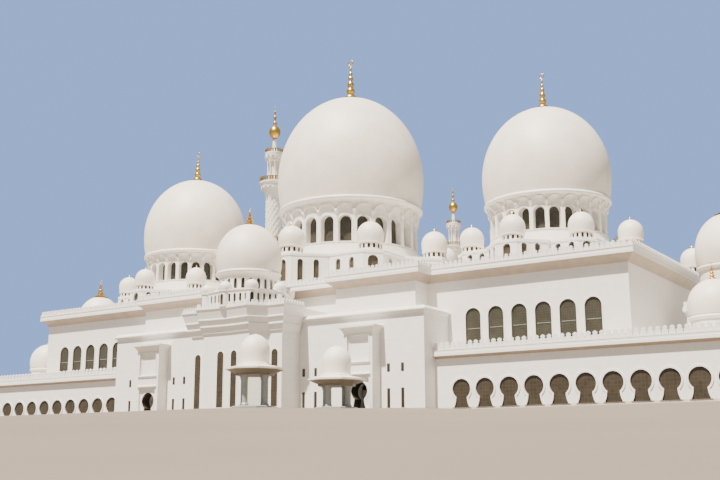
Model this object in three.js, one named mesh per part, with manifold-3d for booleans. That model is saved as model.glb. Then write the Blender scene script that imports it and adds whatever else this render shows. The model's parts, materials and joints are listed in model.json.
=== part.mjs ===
// Domed mosque building at one tenth of its real size, in millimetres with +Z up.
// Every size below is a real size in metres, and MM turns it into model millimetres.
// X runs along the front, Y runs back into the building, and the front wall is at y = 0.
import * as THREE from "three";
import { mergeVertices } from "three/addons/utils/BufferGeometryUtils.js";
import Module from "manifold-3d";

const wasm = await Module();
wasm.setup();

const MM = 100;
const WALL = 0.9;
const FLOOR = 0.4;

// Ground storey: an arcaded wall under a flat terrace
const GROUND = { halfWidth: 88, back: 88, top: 8.4, terrace: 9, ledge: 1, parapet: 1.2 };
const ARCH = { first: 41.8, pitch: 4.324, count: 11, radius: 1.5, centre: 3.55, neck: 1.05, foot: 1.4 };

// Upper storey: the tall hall with its deep eave
const HALL = { halfWidth: 69.5, front: 4.8, back: 54, eaveFoot: 22.6, roof: 23.86, eave: 1.5 };
const WINDOW = { first: 41.8, count: 6, halfWidth: 1.3, sill: 11.3, spring: 16.2 };

// Projecting blocks on both sides of the centre, each with a framed portal
const BLOCK = { inner: 10.8, outer: 36.9, front: -3.6, lowerTop: 17.16,
  slits: [11.75, 14.4, 17.6, 20.4, 29.8, 32.6] };
const UPPER = { inner: 16, outer: 33, front: 0.3 };
const PORTAL = { x: 25.2, halfWidth: 2.95, front: -6.1, top: 14.5 };

// Central apse with its stepped cornice and slotted gallery
const APSE = { half: 10.8, flank: -8.8, fold: 7.8, face: 5.4, front: -11.5, middle: -10.1, foot: 14.6,
  top: 19.2 };
const GALLERY = { y: -5.6, radius: 8.2, top: 22.4 };

// Domes in one row, then the small ones
const ROW = 28.47;
const MAIN = { x: 0, y: ROW, radius: 16.1, ring: 45.2, top: 71.2, tip: 81, drum: 14.5, base: 32.5,
  half: 18.2, corner: 2.9, bay: 2, leg: 5.3, reach: 23.7, arch: 1.05, window: 0.45, sill: 27,
  pier: [9.5, 12.7], turret: 2.7, diagonal: 15, axis: 21, turretRing: 33.8, drumSill: 35.9, spring: 39.7,
  holes: 24 };
const SIDE = { x: 46.26, y: ROW, radius: 12.22, ring: 40.25, top: 60, tip: 67.3, drum: 11, base: 30.4,
  half: 13.6, corner: 2.3, bay: 1.9, leg: 4.1, reach: 18.75, arch: 0.9, window: 0.35, sill: 26.6,
  pier: [7.5, 10], turret: 2.3, diagonal: 10.9, axis: 16.1, turretRing: 31.3, drumSill: 33.3,
  spring: 36.2, holes: 24 };
const CENTRE = { x: 0, y: -5.6, radius: 6.1, ring: 27.1, top: 35.9, tip: 39.15, drum: 5.5,
  foot: GALLERY.top, sill: 23.6, spring: 25.1, holes: 16 };
const END = { x: 79.4, y: ROW, radius: 5.6, ring: 24.4, top: 33.75, tip: 36.6, drum: 5.1, foot: 17 };
const PORCH = { x: 80.3, y: 10, radius: 4.65, ring: 14, top: 20.6, tip: 23.2, drum: 4.25, foot: 9 };

// Courtyard gallery behind the hall, and the four minarets at its corners
const COURT = { half: 69.4, inner: 61.4, back: 215, pitch: 12.972 };
const MINARET = { x: 73.4, y: [92, 211], half: 4, tip: 104.5 };

// Two domed kiosks on the forecourt
const KIOSK = { places: [[16.9, -23.4, 0], [25.4, -12.6, 1.45]], eave: 4.85, dome: 2.4, top: 11.95 };

// Geometry to solid and back
function solidOf(geometry) {
  let g = geometry.clone();
  g.deleteAttribute("normal");
  g.deleteAttribute("uv");
  g = mergeVertices(g, 1e-4);
  return new wasm.Manifold(new wasm.Mesh({
    numProp: 3,
    vertProperties: new Float32Array(g.attributes.position.array),
    triVerts: new Uint32Array(g.index.array),
  }));
}

function geometryOf(solid) {
  const mesh = solid.getMesh();
  const g = new THREE.BufferGeometry();
  g.setAttribute("position", new THREE.BufferAttribute(new Float32Array(mesh.vertProperties), 3));
  g.setIndex(new THREE.BufferAttribute(new Uint32Array(mesh.triVerts), 1));
  g.computeVertexNormals();
  return g;
}

const join = (...solids) => solids.reduce((a, b) => a.add(b));
const cut = (solid, cutters) => cutters.reduce((a, b) => a.subtract(b), solid);

// Basic shapes, sizes in metres
function box(x0, x1, y0, y1, z0, z1) {
  const g = new THREE.BoxGeometry((x1 - x0) * MM, (y1 - y0) * MM, (z1 - z0) * MM);
  g.translate((x0 + x1) / 2 * MM, (y0 + y1) / 2 * MM, (z0 + z1) / 2 * MM);
  return solidOf(g);
}

function slab(points, z0, z1) {
  const shape = new THREE.Shape(points.map(([x, y]) => new THREE.Vector2(x * MM, y * MM)));
  const g = new THREE.ExtrudeGeometry(shape, { depth: (z1 - z0) * MM, bevelEnabled: false });
  g.translate(0, 0, z0 * MM);
  return solidOf(g);
}

// A slab whose upper outline stands further out than its foot, as under a deep eave
function eaveSlab(x0, x1, y0, y1, z0, z1, out) {
  const lip = 0.55;
  const profile = [[0, z0], [out, z1 - lip], [out, z1]];
  const rings = profile.map(([o, z]) => [
    [x0 - o, y0 - o, z], [x1 + o, y0 - o, z], [x1 + o, y1 + o, z], [x0 - o, y1 + o, z]]);
  const positions = rings.flat().flatMap(([x, y, z]) => [x * MM, y * MM, z * MM]);
  const index = [0, 2, 1, 0, 3, 2, 8, 9, 10, 8, 10, 11];
  for (let r = 0; r < 2; r++) {
    for (let i = 0; i < 4; i++) {
      const a = r * 4 + i;
      const b = r * 4 + (i + 1) % 4;
      index.push(a, b, b + 4, a, b + 4, a + 4);
    }
  }
  const g = new THREE.BufferGeometry();
  g.setAttribute("position", new THREE.BufferAttribute(new Float32Array(positions), 3));
  g.setIndex(index);
  return solidOf(g);
}

// A turned solid from a [radius, height] outline that closes on itself or on the axis
function turned(outline, segments, x = 0, y = 0, turn = 0) {
  const closed = outline[0][0] > 0 ? [...outline, outline[0]] : outline;
  const points = closed.map(([r, z]) => new THREE.Vector2(r * MM, z * MM));
  const g = new THREE.LatheGeometry(points, segments);
  g.rotateX(Math.PI / 2);
  g.rotateZ(turn);
  g.translate(x * MM, y * MM, 0);
  const solid = solidOf(g);
  return solid.volume() > 0 ? solid : solidOf(flipped(g));
}

function flipped(geometry) {
  const g = geometry.clone();
  const a = g.index.array;
  for (let i = 0; i < a.length; i += 3) [a[i], a[i + 1]] = [a[i + 1], a[i]];
  return g;
}

// Openings: a shape in the wall's plane, pushed through the wall
function roundHead(halfWidth, sill, spring, steps = 6) {
  const points = [[-halfWidth, sill], [halfWidth, sill]];
  for (let i = 0; i <= steps; i++) {
    const a = Math.PI * i / steps;
    points.push([halfWidth * Math.cos(a), spring + halfWidth * Math.sin(a)]);
  }
  return points;
}

function horseshoe(steps = 7) {
  const start = -Math.acos(ARCH.neck / ARCH.radius);
  const points = [[-ARCH.foot, FLOOR], [ARCH.foot, FLOOR]];
  for (let i = 0; i <= steps; i++) {
    const a = start + (Math.PI - 2 * start) * i / steps;
    points.push([ARCH.radius * Math.cos(a), ARCH.centre + ARCH.radius * Math.sin(a)]);
  }
  return points;
}

function pushed(points, depth) {
  const shape = new THREE.Shape(points.map(([u, v]) => new THREE.Vector2(u * MM, v * MM)));
  const g = new THREE.ExtrudeGeometry(shape, { depth: depth * MM, bevelEnabled: false });
  g.translate(0, 0, -depth / 2 * MM);
  g.rotateX(Math.PI / 2);
  return g;
}

function throughFront(points, x, y, depth = 2.4) {
  const g = pushed(points, depth);
  g.translate(x * MM, y * MM, 0);
  return solidOf(g);
}

function throughSide(points, x, y, depth = 2.4) {
  const g = pushed(points, depth);
  g.rotateZ(Math.PI / 2);
  g.translate(x * MM, y * MM, 0);
  return solidOf(g);
}

function throughRound(points, count, radius, x, y, depth = 3) {
  return Array.from({ length: count }, (_, i) => {
    const g = pushed(points, depth);
    g.translate(0, -radius * MM, 0);
    g.rotateZ(2 * Math.PI * i / count);
    g.translate(x * MM, y * MM, 0);
    return solidOf(g);
  });
}

const spread = (first, pitch, count) => Array.from({ length: count }, (_, i) => first + pitch * i);

// Onion-shaped shell: springs at the ring, swells to its full radius, then closes as an ellipse
function domeShell(d, rows, segments, thickness = 0.6) {
  const foot = Math.acos(0.953);
  const rise = d.top - d.ring;
  const bulge = d.ring + 0.26 * rise;
  const below = [-foot, -foot / 2].map((a) => [Math.cos(a), bulge + (bulge - d.ring) * a / foot]);
  const above = spread(0, Math.PI / 2 / rows, rows + 1)
    .map((a) => [Math.max(Math.cos(a), 0.08), bulge + (d.top - bulge) * Math.sin(a)]);
  const outer = [...below, ...above].map(([k, z]) => [d.radius * k, z]);
  outer.push([0, d.top]);
  const inner = outer.filter(([r], i) => r === 0 || (i % 2 === 0 && i < rows + 2))
    .map(([r, z]) => [Math.max(r - thickness, 0), d.ring + (z - d.ring) * (rise - thickness) / rise]);
  return turned([...inner.reverse(), ...outer], segments, d.x, d.y);
}

function drumWall(d, segments, thickness = 0.9) {
  const r = d.drum;
  const rim = d.radius * 0.985;
  return turned([
    [r - thickness, d.foot], [r, d.foot], [r, d.spring + 1.9], [rim - 0.35, d.ring - 1.1],
    [rim, d.ring - 0.7], [rim, d.ring], [r - thickness, d.ring]], segments, d.x, d.y);
}

function finial(d, scale) {
  const h = d.tip - d.top;
  const beads = [[0.62, 0.08], [0.3, 0.2], [0.52, 0.32], [0.25, 0.44], [0.35, 0.56], [0.12, 0.7]];
  const outline = [[0, d.top], [0.75 * scale, d.top]];
  for (const [r, t] of beads) outline.push([r * scale, d.top + h * t]);
  outline.push([0, d.tip]);
  return turned(outline, 8, d.x, d.y);
}

// Turret: a short round body under a small bulging dome with a point
function turret(x, y, foot, ring, radius, segments = 8) {
  const body = radius * 0.9;
  const outline = [[0, foot], [body, foot], [body, ring], [radius, ring + radius * 0.6],
    [radius * 0.8, ring + radius * 1.15], [radius * 0.35, ring + radius * 1.52],
    [0, ring + radius * 1.62]];
  return turned(outline, segments, x, y, Math.PI / segments);
}

// Base of a large dome: a square with cut corners and a three-sided bay on each side, all of it hollow
function baseOutline(d, inset) {
  const shift = inset * Math.tan(Math.PI / 8);
  const [h, c, r] = [d.half - inset, d.half - d.corner - shift, d.reach - inset];
  const [b, e] = [d.bay - shift, d.bay + d.leg - inset];
  const f = d.reach - d.leg - shift;
  const quarter = [[b, -r], [e, -f], [e, -h], [c, -h], [h, -c], [h, -e], [f, -e], [r, -b]];
  return [0, 1, 2, 3].flatMap((q) => quarter.map(([x, y]) => {
    const [cos, sin] = [[1, 0], [0, 1], [-1, 0], [0, -1]][q];
    return [d.x + x * cos - y * sin, d.y + x * sin + y * cos];
  }));
}

// The base's openings: an arch in each bay and cut corner, and tall windows between them
function baseOpenings(d) {
  const top = d.base - 1.7;
  const arch = roundHead(d.arch, d.sill + 1.4, top - d.arch + 0.2, 3);
  const tall = roundHead(d.window, d.sill, top - d.window, 2);
  const low = roundHead(d.window, top - 2.3, top - d.window, 2);
  const diagonal = Math.PI / 4;
  const openings = [];
  for (const turn of [0, 1, 2, 3].map((q) => q * Math.PI / 2)) {
    const at = (shape, along, out, tilt = 0) => {
      const g = pushed(shape, 1.6);
      g.rotateZ(tilt);
      g.translate(along * MM, -out * MM, 0);
      g.rotateZ(turn);
      g.translate(d.x * MM, d.y * MM, 0);
      openings.push(solidOf(g));
    };
    at(arch, 0, d.reach);
    at(arch, d.half - d.corner / 2, d.half - d.corner / 2, diagonal);
    for (const s of [1, -1]) {
      for (const q of [0.24, 0.67]) at(tall, s * (d.bay + d.leg * q), d.reach - d.leg * q, s * diagonal);
      for (const x of d.pier) at(low, s * x, d.half);
    }
  }
  return openings;
}

function domeBase(d) {
  const walls = slab(baseOutline(d, 0), HALL.roof, d.base);
  const turrets = [[1, 0], [-1, 0], [0, 1], [0, -1], [1, 1], [1, -1], [-1, 1], [-1, -1]].map(([u, v]) => {
    const reach = u && v ? d.diagonal : d.axis;
    return turret(d.x + u * reach, d.y + v * reach, d.base - 0.5, d.turretRing, d.turret);
  });
  const inner = slab(baseOutline(d, WALL), HALL.roof - 1, d.base - WALL);
  const well = turned([[0, HALL.roof - 1], [d.drum - WALL, HALL.roof - 1], [d.drum - WALL, d.base + 1],
    [0, d.base + 1]], 24, d.x, d.y);
  return cut(join(walls, ...turrets), [inner, well, ...baseOpenings(d)]);
}

function minaret(x, y) {
  const h = MINARET.half;
  const shaft = turned([[0, 25], [3.5, 25], [3.5, 29], [4.7, 31], [4.7, 32.4], [3.3, 32.4], [3.3, 56],
    [4.6, 58], [4.6, 59.4], [2.5, 59.4], [2.5, 74], [4.6, 77.9], [4.6, 79.2], [2.1, 79.2], [2.1, 85.5],
    [3.1, 87.6], [3.1, 88.7], [0.7, 88.7], [0.7, 93], [1.65, 95.6], [0.35, 98.4], [0.6, 99.6],
    [0, MINARET.tip]], 8, x, y, Math.PI / 8);
  const foot = eaveSlab(x - h, x + h, y - h, y + h, 26.4, 28.4, 0.7);
  return join(box(x - h, x + h, y - h, y + h, 0, 27), foot, shaft);
}

// Kiosk: six posts on a plinth carry a wide eight-sided eave and a small dome
function kiosk(x, y, drop) {
  const lowered = (outline) => outline.map(([r, z]) => [r, z - drop]);
  const eave = turned(lowered([[0, 5.2], [3.3, 5.2], [4.7, 6.05], [KIOSK.eave, 6.15], [KIOSK.eave, 6.4],
    [2.7, 6.9], [0, 6.9]]), 8, x, y);
  const dome = turned(lowered([[0, 6.6], [2.25, 6.6], [KIOSK.dome, 9.1], [2.2, 10.3], [1.6, 11.15],
    [0.8, 11.75], [0, KIOSK.top]]), 16, x, y);
  const plinth = turned([[0, 0], [3.6, 0], [3.6, 0.35], [0, 0.35]], 8, x, y, Math.PI / 8);
  const posts = spread(0, 1, 6).map((i) => {
    const a = Math.PI * (i + 0.5) / 3;
    const [px, py] = [x + 2.75 * Math.cos(a), y + 2.75 * Math.sin(a)];
    return box(px - 0.3, px + 0.3, py - 0.3, py + 0.3, 0.3, 5.4 - drop);
  });
  return join(eave, dome, plinth, ...posts);
}

// Ground storey
function hallFloor() {
  const [w, b] = [GROUND.halfWidth, GROUND.back];
  const right = [[APSE.half, BLOCK.front], [BLOCK.outer, BLOCK.front], [BLOCK.outer, 0], [w, 0], [w, b]];
  const left = right.map(([x, y]) => [-x, y]).reverse();
  return slab([...left, ...apseFront(0), ...right], 0, FLOOR);
}

function arcadeWall(side) {
  const w = GROUND.halfWidth;
  const front = side > 0 ? box(BLOCK.outer, w, 0, WALL, FLOOR, GROUND.top)
    : box(-w, -BLOCK.outer, 0, WALL, FLOOR, GROUND.top);
  const end = side > 0 ? box(w - WALL, w, 0, GROUND.back - WALL, FLOOR, GROUND.top)
    : box(-w, WALL - w, 0, GROUND.back - WALL, FLOOR, GROUND.top);
  const holes = spread(ARCH.first, ARCH.pitch, ARCH.count)
    .map((x) => throughFront(horseshoe(), side * x, WALL / 2));
  const endHoles = spread(9, 2 * ARCH.pitch, 9)
    .map((y) => throughSide(horseshoe(5), side * (w - WALL / 2), y));
  return cut(join(front, end), [...holes, ...endHoles]);
}

function terraceRoof() {
  const w = GROUND.halfWidth + GROUND.ledge;
  const f = -GROUND.ledge;
  const b = GROUND.back;
  const inX = HALL.halfWidth - WALL;
  const [inY0, inY1] = [HALL.front + WALL, HALL.back - WALL];
  const plate = join(
    box(-w, -BLOCK.outer, f, inY0, GROUND.top, GROUND.terrace),
    box(BLOCK.outer, w, f, inY0, GROUND.top, GROUND.terrace),
    box(-w, -inX, f, b, GROUND.top, GROUND.terrace),
    box(inX, w, f, b, GROUND.top, GROUND.terrace),
    box(-w, w, inY1, b, GROUND.top, GROUND.terrace));
  const t = GROUND.terrace;
  const p = t + GROUND.parapet;
  const rail = join(
    box(-w, -BLOCK.outer, f, f + 0.4, t - 0.1, p), box(BLOCK.outer, w, f, f + 0.4, t - 0.1, p),
    box(-w, 0.4 - w, f, b, t - 0.1, p), box(w - 0.4, w, f, b, t - 0.1, p),
    box(-w, w, b - 0.4, b, t - 0.1, p));
  return join(plate, rail);
}

function porticoWall() {
  const w = GROUND.halfWidth;
  const wall = box(-w, w, GROUND.back - WALL, GROUND.back, FLOOR, GROUND.top);
  return cut(wall, spread(-4 * COURT.pitch, COURT.pitch, 9)
    .map((x) => throughFront(roundHead(2.6, FLOOR, 4.4, 4), x, GROUND.back - WALL / 2)));
}

// Upper storey
function upperWall(side) {
  const w = HALL.halfWidth;
  const [z0, z1] = [GROUND.terrace, HALL.eaveFoot];
  const [f, b] = [HALL.front, HALL.back - WALL];
  const solid = side > 0
    ? join(box(UPPER.outer, w, f, f + WALL, z0, z1), box(w - WALL, w, f, b, z0, z1))
    : join(box(-w, -UPPER.outer, f, f + WALL, z0, z1), box(-w, WALL - w, f, b, z0, z1));
  return cut(solid, spread(WINDOW.first, ARCH.pitch, WINDOW.count)
    .map((x) => throughFront(roundHead(WINDOW.halfWidth, WINDOW.sill, WINDOW.spring),
      side * x, f + WALL / 2)));
}

function upperGlass(side) {
  const [a, b] = [WINDOW.first - 2, WINDOW.first + 5 * ARCH.pitch + 2];
  const [x0, x1] = side > 0 ? [a, b] : [-b, -a];
  const y = HALL.front + WALL;
  return box(x0, x1, y, y + 0.12, WINDOW.sill - 0.5, WINDOW.spring + WINDOW.halfWidth + 0.5);
}

function groundGlass(side) {
  const [a, b] = [ARCH.first - 2, GROUND.halfWidth - WALL];
  const [x0, x1] = side > 0 ? [a, b] : [-b, -a];
  return box(x0, x1, WALL, WALL + 0.12, FLOOR, ARCH.centre + ARCH.radius + 0.4);
}

function rearWall() {
  const w = HALL.halfWidth;
  const wall = box(-w, w, HALL.back - WALL, HALL.back, GROUND.terrace, HALL.eaveFoot);
  const places = [...spread(WINDOW.first, ARCH.pitch, WINDOW.count), 8.648, 17.296, 25.944];
  const holes = places.flatMap((x) => [x, -x]).map((x) => throughFront(
    roundHead(WINDOW.halfWidth, WINDOW.sill, WINDOW.spring, 4), x, HALL.back - WALL / 2));
  return cut(wall, holes);
}

function mainRoof() {
  const w = HALL.halfWidth;
  const [f, b] = [HALL.front, HALL.back];
  const plate = eaveSlab(-w, w, f, b, HALL.eaveFoot, HALL.roof, HALL.eave);
  const overBlock = (s) => (s > 0
    ? eaveSlab(UPPER.inner, UPPER.outer, UPPER.front, 12, HALL.eaveFoot, HALL.roof, HALL.eave)
    : eaveSlab(-UPPER.outer, -UPPER.inner, UPPER.front, 12, HALL.eaveFoot, HALL.roof, HALL.eave));
  const holes = [MAIN, SIDE, { ...SIDE, x: -SIDE.x }].map((d) => {
    const r = d.drum - WALL;
    return box(d.x - r, d.x + r, d.y - r, d.y + r, HALL.eaveFoot - 1, HALL.roof + 1);
  });
  const rail = cut(box(-w - 1.4, w + 1.4, f - 1.4, b + 1.4, HALL.roof - 0.1, HALL.roof + 1.1),
    [box(-w - 1, w + 1, f - 1, b + 1, HALL.roof - 1, HALL.roof + 2),
      box(-UPPER.outer, -UPPER.inner, 0, 8, HALL.roof - 1, HALL.roof + 2),
      box(UPPER.inner, UPPER.outer, 0, 8, HALL.roof - 1, HALL.roof + 2)]);
  return cut(join(plate, overBlock(1), overBlock(-1), rail), holes);
}

// Front blocks: a hollow lower tier, a set-back upper tier and slit windows
function block(side) {
  const at = (x0, x1, ...rest) => (side > 0 ? box(x0, x1, ...rest) : box(-x1, -x0, ...rest));
  const { inner, outer, front, lowerTop } = BLOCK;
  const b = HALL.front;
  const lower = join(at(inner, outer, front, b, FLOOR, lowerTop),
    at(inner, outer + 0.35, front - 0.35, -1.3, lowerTop - 0.6, lowerTop));
  const room = at(inner + 0.5, outer - WALL, front + WALL, b + 1, FLOOR - 1, lowerTop - 0.6);
  const upper = at(UPPER.inner, UPPER.outer, UPPER.front, b, lowerTop - 0.1, HALL.eaveFoot);
  const upperRoom = at(UPPER.inner + WALL, UPPER.outer - WALL, UPPER.front + WALL, b + 1, lowerTop - 2,
    HALL.eaveFoot + 1);
  const slit = (x, z0, z1) => throughFront(roundHead(0.22, z0, z1 - 0.22, 2), side * x, front + WALL / 2);
  const slits = BLOCK.slits.flatMap((x) => [slit(x, 0.6, 3.7), slit(x, 6.65, 7.9)]);
  const door = throughFront(horseshoe(), side * PORTAL.x, front + WALL / 2);
  return cut(join(cut(lower, [room]), upper), [upperRoom, door, ...slits]);
}

function portal(side) {
  const x = side * PORTAL.x;
  const w = PORTAL.halfWidth;
  const { front, top } = PORTAL;
  const back = BLOCK.front;
  const frame = join(box(x - w, x + w, front, back, 0, top - 0.6),
    box(x - w - 0.3, x + w + 0.3, front - 0.3, back, top - 1.5, top - 0.6),
    box(x - w - 0.6, x + w + 0.6, front - 0.6, back, top - 0.8, top));
  const niche = box(x - 1.9, x + 1.9, front - 1, front + 0.45, 8.3, 12.7);
  const bay = box(x - 1.9, x + 1.9, front - 1, front + 0.45, FLOOR, 6.1);
  return cut(frame, [niche, bay, throughFront(horseshoe(), x, back, 6)]);
}

// Apse: folded front, stepped cornice, slotted gallery and the shell behind it
function apseFront(out) {
  const right = [[APSE.face + 0.6 * out, APSE.front - out], [APSE.fold + 0.4 * out, APSE.flank - out],
    [APSE.half + out, APSE.flank - out]];
  return [...right.map(([x, y]) => [-x, y]).reverse(), [0, APSE.middle - out], ...right];
}

function apsePlan(out, back) {
  const w = APSE.half;
  const end = BLOCK.front - 0.4;
  const tail = out > 0 ? [[w + out, end], [w, end], [w, back]] : [[w + out, back]];
  return [...tail.map(([x, y]) => [-x, y]).reverse(), ...apseFront(out), ...tail];
}

function apseWall() {
  const wall = slab(apsePlan(0, HALL.front), FLOOR, APSE.foot);
  const room = slab(apsePlan(-WALL, HALL.front + 1), FLOOR - 1, APSE.foot + 1);
  const tall = roundHead(0.55, 1.2, 10.7, 4);
  const holes = [1.6, -1.6].map((x) => throughFront(tall, x, APSE.middle - 0.4 + WALL / 2, 3))
    .concat([9.2, -9.2].map((x) => throughFront(tall, x, APSE.flank + WALL / 2)));
  return cut(wall, [room, ...holes]);
}

function apseCornice() {
  const steps = [[0.4, APSE.foot, 15.5], [0.7, 15.4, 16.7], [1.1, 16.6, 17.4], [1.6, 17.3, APSE.top]];
  const rim = join(...steps.map(([out, z0, z1]) => slab(apsePlan(out, HALL.front), z0, z1)));
  const room = slab(apsePlan(-WALL, HALL.front + 1), APSE.foot - 1, APSE.top - 0.6);
  const well = turned([[0, APSE.foot], [CENTRE.drum - WALL, APSE.foot], [CENTRE.drum - WALL, 25],
    [0, 25]], 24, CENTRE.x, CENTRE.y);
  return cut(rim, [room, well]);
}

function gallery() {
  const { y, radius, top } = GALLERY;
  const z = APSE.top;
  const turn = Math.PI / 8;
  const body = turned([[radius - 0.7, z], [radius, z], [radius, top], [CENTRE.drum - WALL, top],
    [CENTRE.drum - WALL, top - 0.6], [radius - 0.7, top - 0.6]], 8, 0, y, 2 * turn);
  const apothem = radius * Math.cos(turn);
  const slots = [-1.3, 1.3].flatMap((u) => Array.from({ length: 8 }, (_, i) => {
    const g = pushed(roundHead(0.2, z + 0.8, z + 2.2, 2), 2);
    g.translate(u * MM, -apothem * MM, 0);
    g.rotateZ(turn + i * 2 * turn);
    g.translate(0, y * MM, 0);
    return solidOf(g);
  }));
  const turrets = Array.from({ length: 8 }, (_, i) => {
    const a = 2 * turn * i;
    const r = radius - 0.75;
    return turret(r * Math.cos(a), y + r * Math.sin(a), top - 0.1, top + 0.6, 0.9, 6);
  });
  return join(cut(body, slots), ...turrets);
}

// Smaller domes: one turned body from foot to point, hollow inside
function smallDome(d, segments, foot) {
  const shell = join(drumWall({ ...d, foot }, segments, 0.7), domeShell(d, 5, segments, 0.5));
  return shell;
}

function endPavilion(side) {
  const x = side * END.x;
  const h = 6.2;
  const body = box(x - h, x + h, END.y - h, END.y + h, GROUND.terrace, END.foot);
  const room = box(x - h + WALL, x + h - WALL, END.y - h + WALL, END.y + h - WALL,
    GROUND.terrace - 1, END.foot - 0.6);
  const well = turned([[0, 12], [END.drum - 0.7, 12], [END.drum - 0.7, 20], [0, 20]], 20, x, END.y);
  return cut(body, [room, well]);
}

// Courtyard gallery behind the hall
function courtOutline(half, back) {
  return [[-half, GROUND.back], [half, GROUND.back], [half, back], [-half, back]];
}

function courtRing(outer, inner, z0, z1) {
  const [b, t] = [COURT.back, COURT.half - outer];
  const u = COURT.half - inner;
  return cut(slab(courtOutline(outer, b - t), z0, z1),
    [box(-inner, inner, GROUND.back - 1, b - u, z0 - 1, z1 + 1)]);
}

function courtWall(half) {
  return courtRing(half, half - WALL, FLOOR, GROUND.top);
}

function courtArcade() {
  const { inner, back, pitch } = COURT;
  const arch = roundHead(2.6, FLOOR, 4.4, 4);
  const along = spread(GROUND.back + 11, pitch, 9);
  const across = spread(-4 * pitch, pitch, 9);
  return cut(courtWall(inner), [
    ...along.flatMap((y) => [1, -1].map((s) => throughSide(arch, s * (inner - WALL / 2), y))),
    ...across.map((x) => throughFront(arch, x, back - (COURT.half - inner) - WALL / 2))]);
}

// Assembly
const building = new THREE.Group();
building.name = "mosque_building";
building.position.set(0, -93.725 * MM, 0);

const marble = { color: 0xe6e1d8, roughness: 0.45, metalness: 0 };
const domeStone = { color: 0xe3dcd2, roughness: 0.5, metalness: 0 };
const paving = { color: 0xcfc8bb, roughness: 0.35, metalness: 0 };
const tintedGlass = { color: 0x6f6a60, roughness: 0.15, metalness: 0 };
const gold = { color: 0xd9a52a, roughness: 0.3, metalness: 1 };

function place(name, solid, finish) {
  const mesh = new THREE.Mesh(geometryOf(solid), new THREE.MeshStandardMaterial(finish));
  mesh.name = name;
  building.add(mesh);
}

place("hall_floor", hallFloor(), paving);
place("terrace_roof", terraceRoof(), marble);
place("portico_wall", porticoWall(), marble);
place("rear_upper_wall", rearWall(), marble);
place("centre_upper_wall", box(-UPPER.inner, UPPER.inner, HALL.front, HALL.front + WALL, BLOCK.lowerTop,
  HALL.eaveFoot), marble);
place("main_roof", mainRoof(), marble);
place("apse_wall", apseWall(), marble);
place("apse_cornice", apseCornice(), marble);
place("apse_gallery", gallery(), marble);
place("centre_drum", cut(drumWall(CENTRE, CENTRE.holes, 0.7), throughRound(
  roundHead(0.5, CENTRE.sill, CENTRE.spring, 2), CENTRE.holes, CENTRE.drum - 0.35,
  CENTRE.x, CENTRE.y)), marble);
place("centre_dome", domeShell(CENTRE, 7, 18), domeStone);
place("centre_finial", finial(CENTRE, 0.7), gold);

for (const [label, side] of [["left", -1], ["right", 1]]) {
  place(`${label}_arcade_wall`, arcadeWall(side), marble);
  place(`${label}_arcade_glass`, groundGlass(side), tintedGlass);
  place(`${label}_upper_wall`, upperWall(side), marble);
  place(`${label}_upper_glass`, upperGlass(side), tintedGlass);
  place(`${label}_block`, block(side), marble);
  place(`${label}_portal`, portal(side), marble);
  place(`${label}_end_pavilion`, endPavilion(side), marble);
  place(`${label}_end_dome`, smallDome({ ...END, x: side * END.x, spring: 20.6 }, 12, END.foot), domeStone);
  place(`${label}_porch_dome`, smallDome({ ...PORCH, x: side * PORCH.x, spring: 11.4 }, 12, PORCH.foot),
    domeStone);
}

for (const [label, d] of [["main", MAIN], ["left", { ...SIDE, x: -SIDE.x }], ["right", SIDE]]) {
  place(`${label}_dome_base`, domeBase(d), marble);
  const drum = cut(drumWall({ ...d, foot: d.base }, d.holes),
    throughRound(roundHead(d.radius * 0.075, d.drumSill, d.spring, 2), d.holes, d.drum - 0.45, d.x, d.y));
  place(`${label}_drum`, drum, marble);
  place(`${label}_dome`, domeShell(d, 7, 26), domeStone);
  place(`${label}_finial`, finial(d, d.radius / 12), gold);
}

place("court_floor", slab(courtOutline(COURT.half, COURT.back), 0, FLOOR), paving);
place("court_outer_wall", courtWall(COURT.half), marble);
place("court_arcade", courtArcade(), marble);
place("court_roof", courtRing(COURT.half, COURT.inner - 1.4, GROUND.top, GROUND.terrace), marble);

for (const [label, x] of [["left", -MINARET.x], ["right", MINARET.x]]) {
  place(`${label}_front_minaret`, minaret(x, MINARET.y[0]), marble);
  place(`${label}_rear_minaret`, minaret(x, MINARET.y[1]), marble);
}

KIOSK.places.forEach(([x, y, drop], i) => place(`kiosk_${i + 1}`, kiosk(x, y, drop), marble));

export default building;
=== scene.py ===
# %% [markdown]
# A domed mosque building of white marble, as a model at one tenth of its real size.
# The CAD frame gives every wall, roof and dome its place. This script gives them their looks: turned
# domes and drums with real window holes, gold finials, rows of merlons, carved surrounds and stone.
# Every piece is drawn at the real building's size in metres, and brought to one tenth at the end.

import json
import math

import bpy
from mathutils import Matrix


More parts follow.
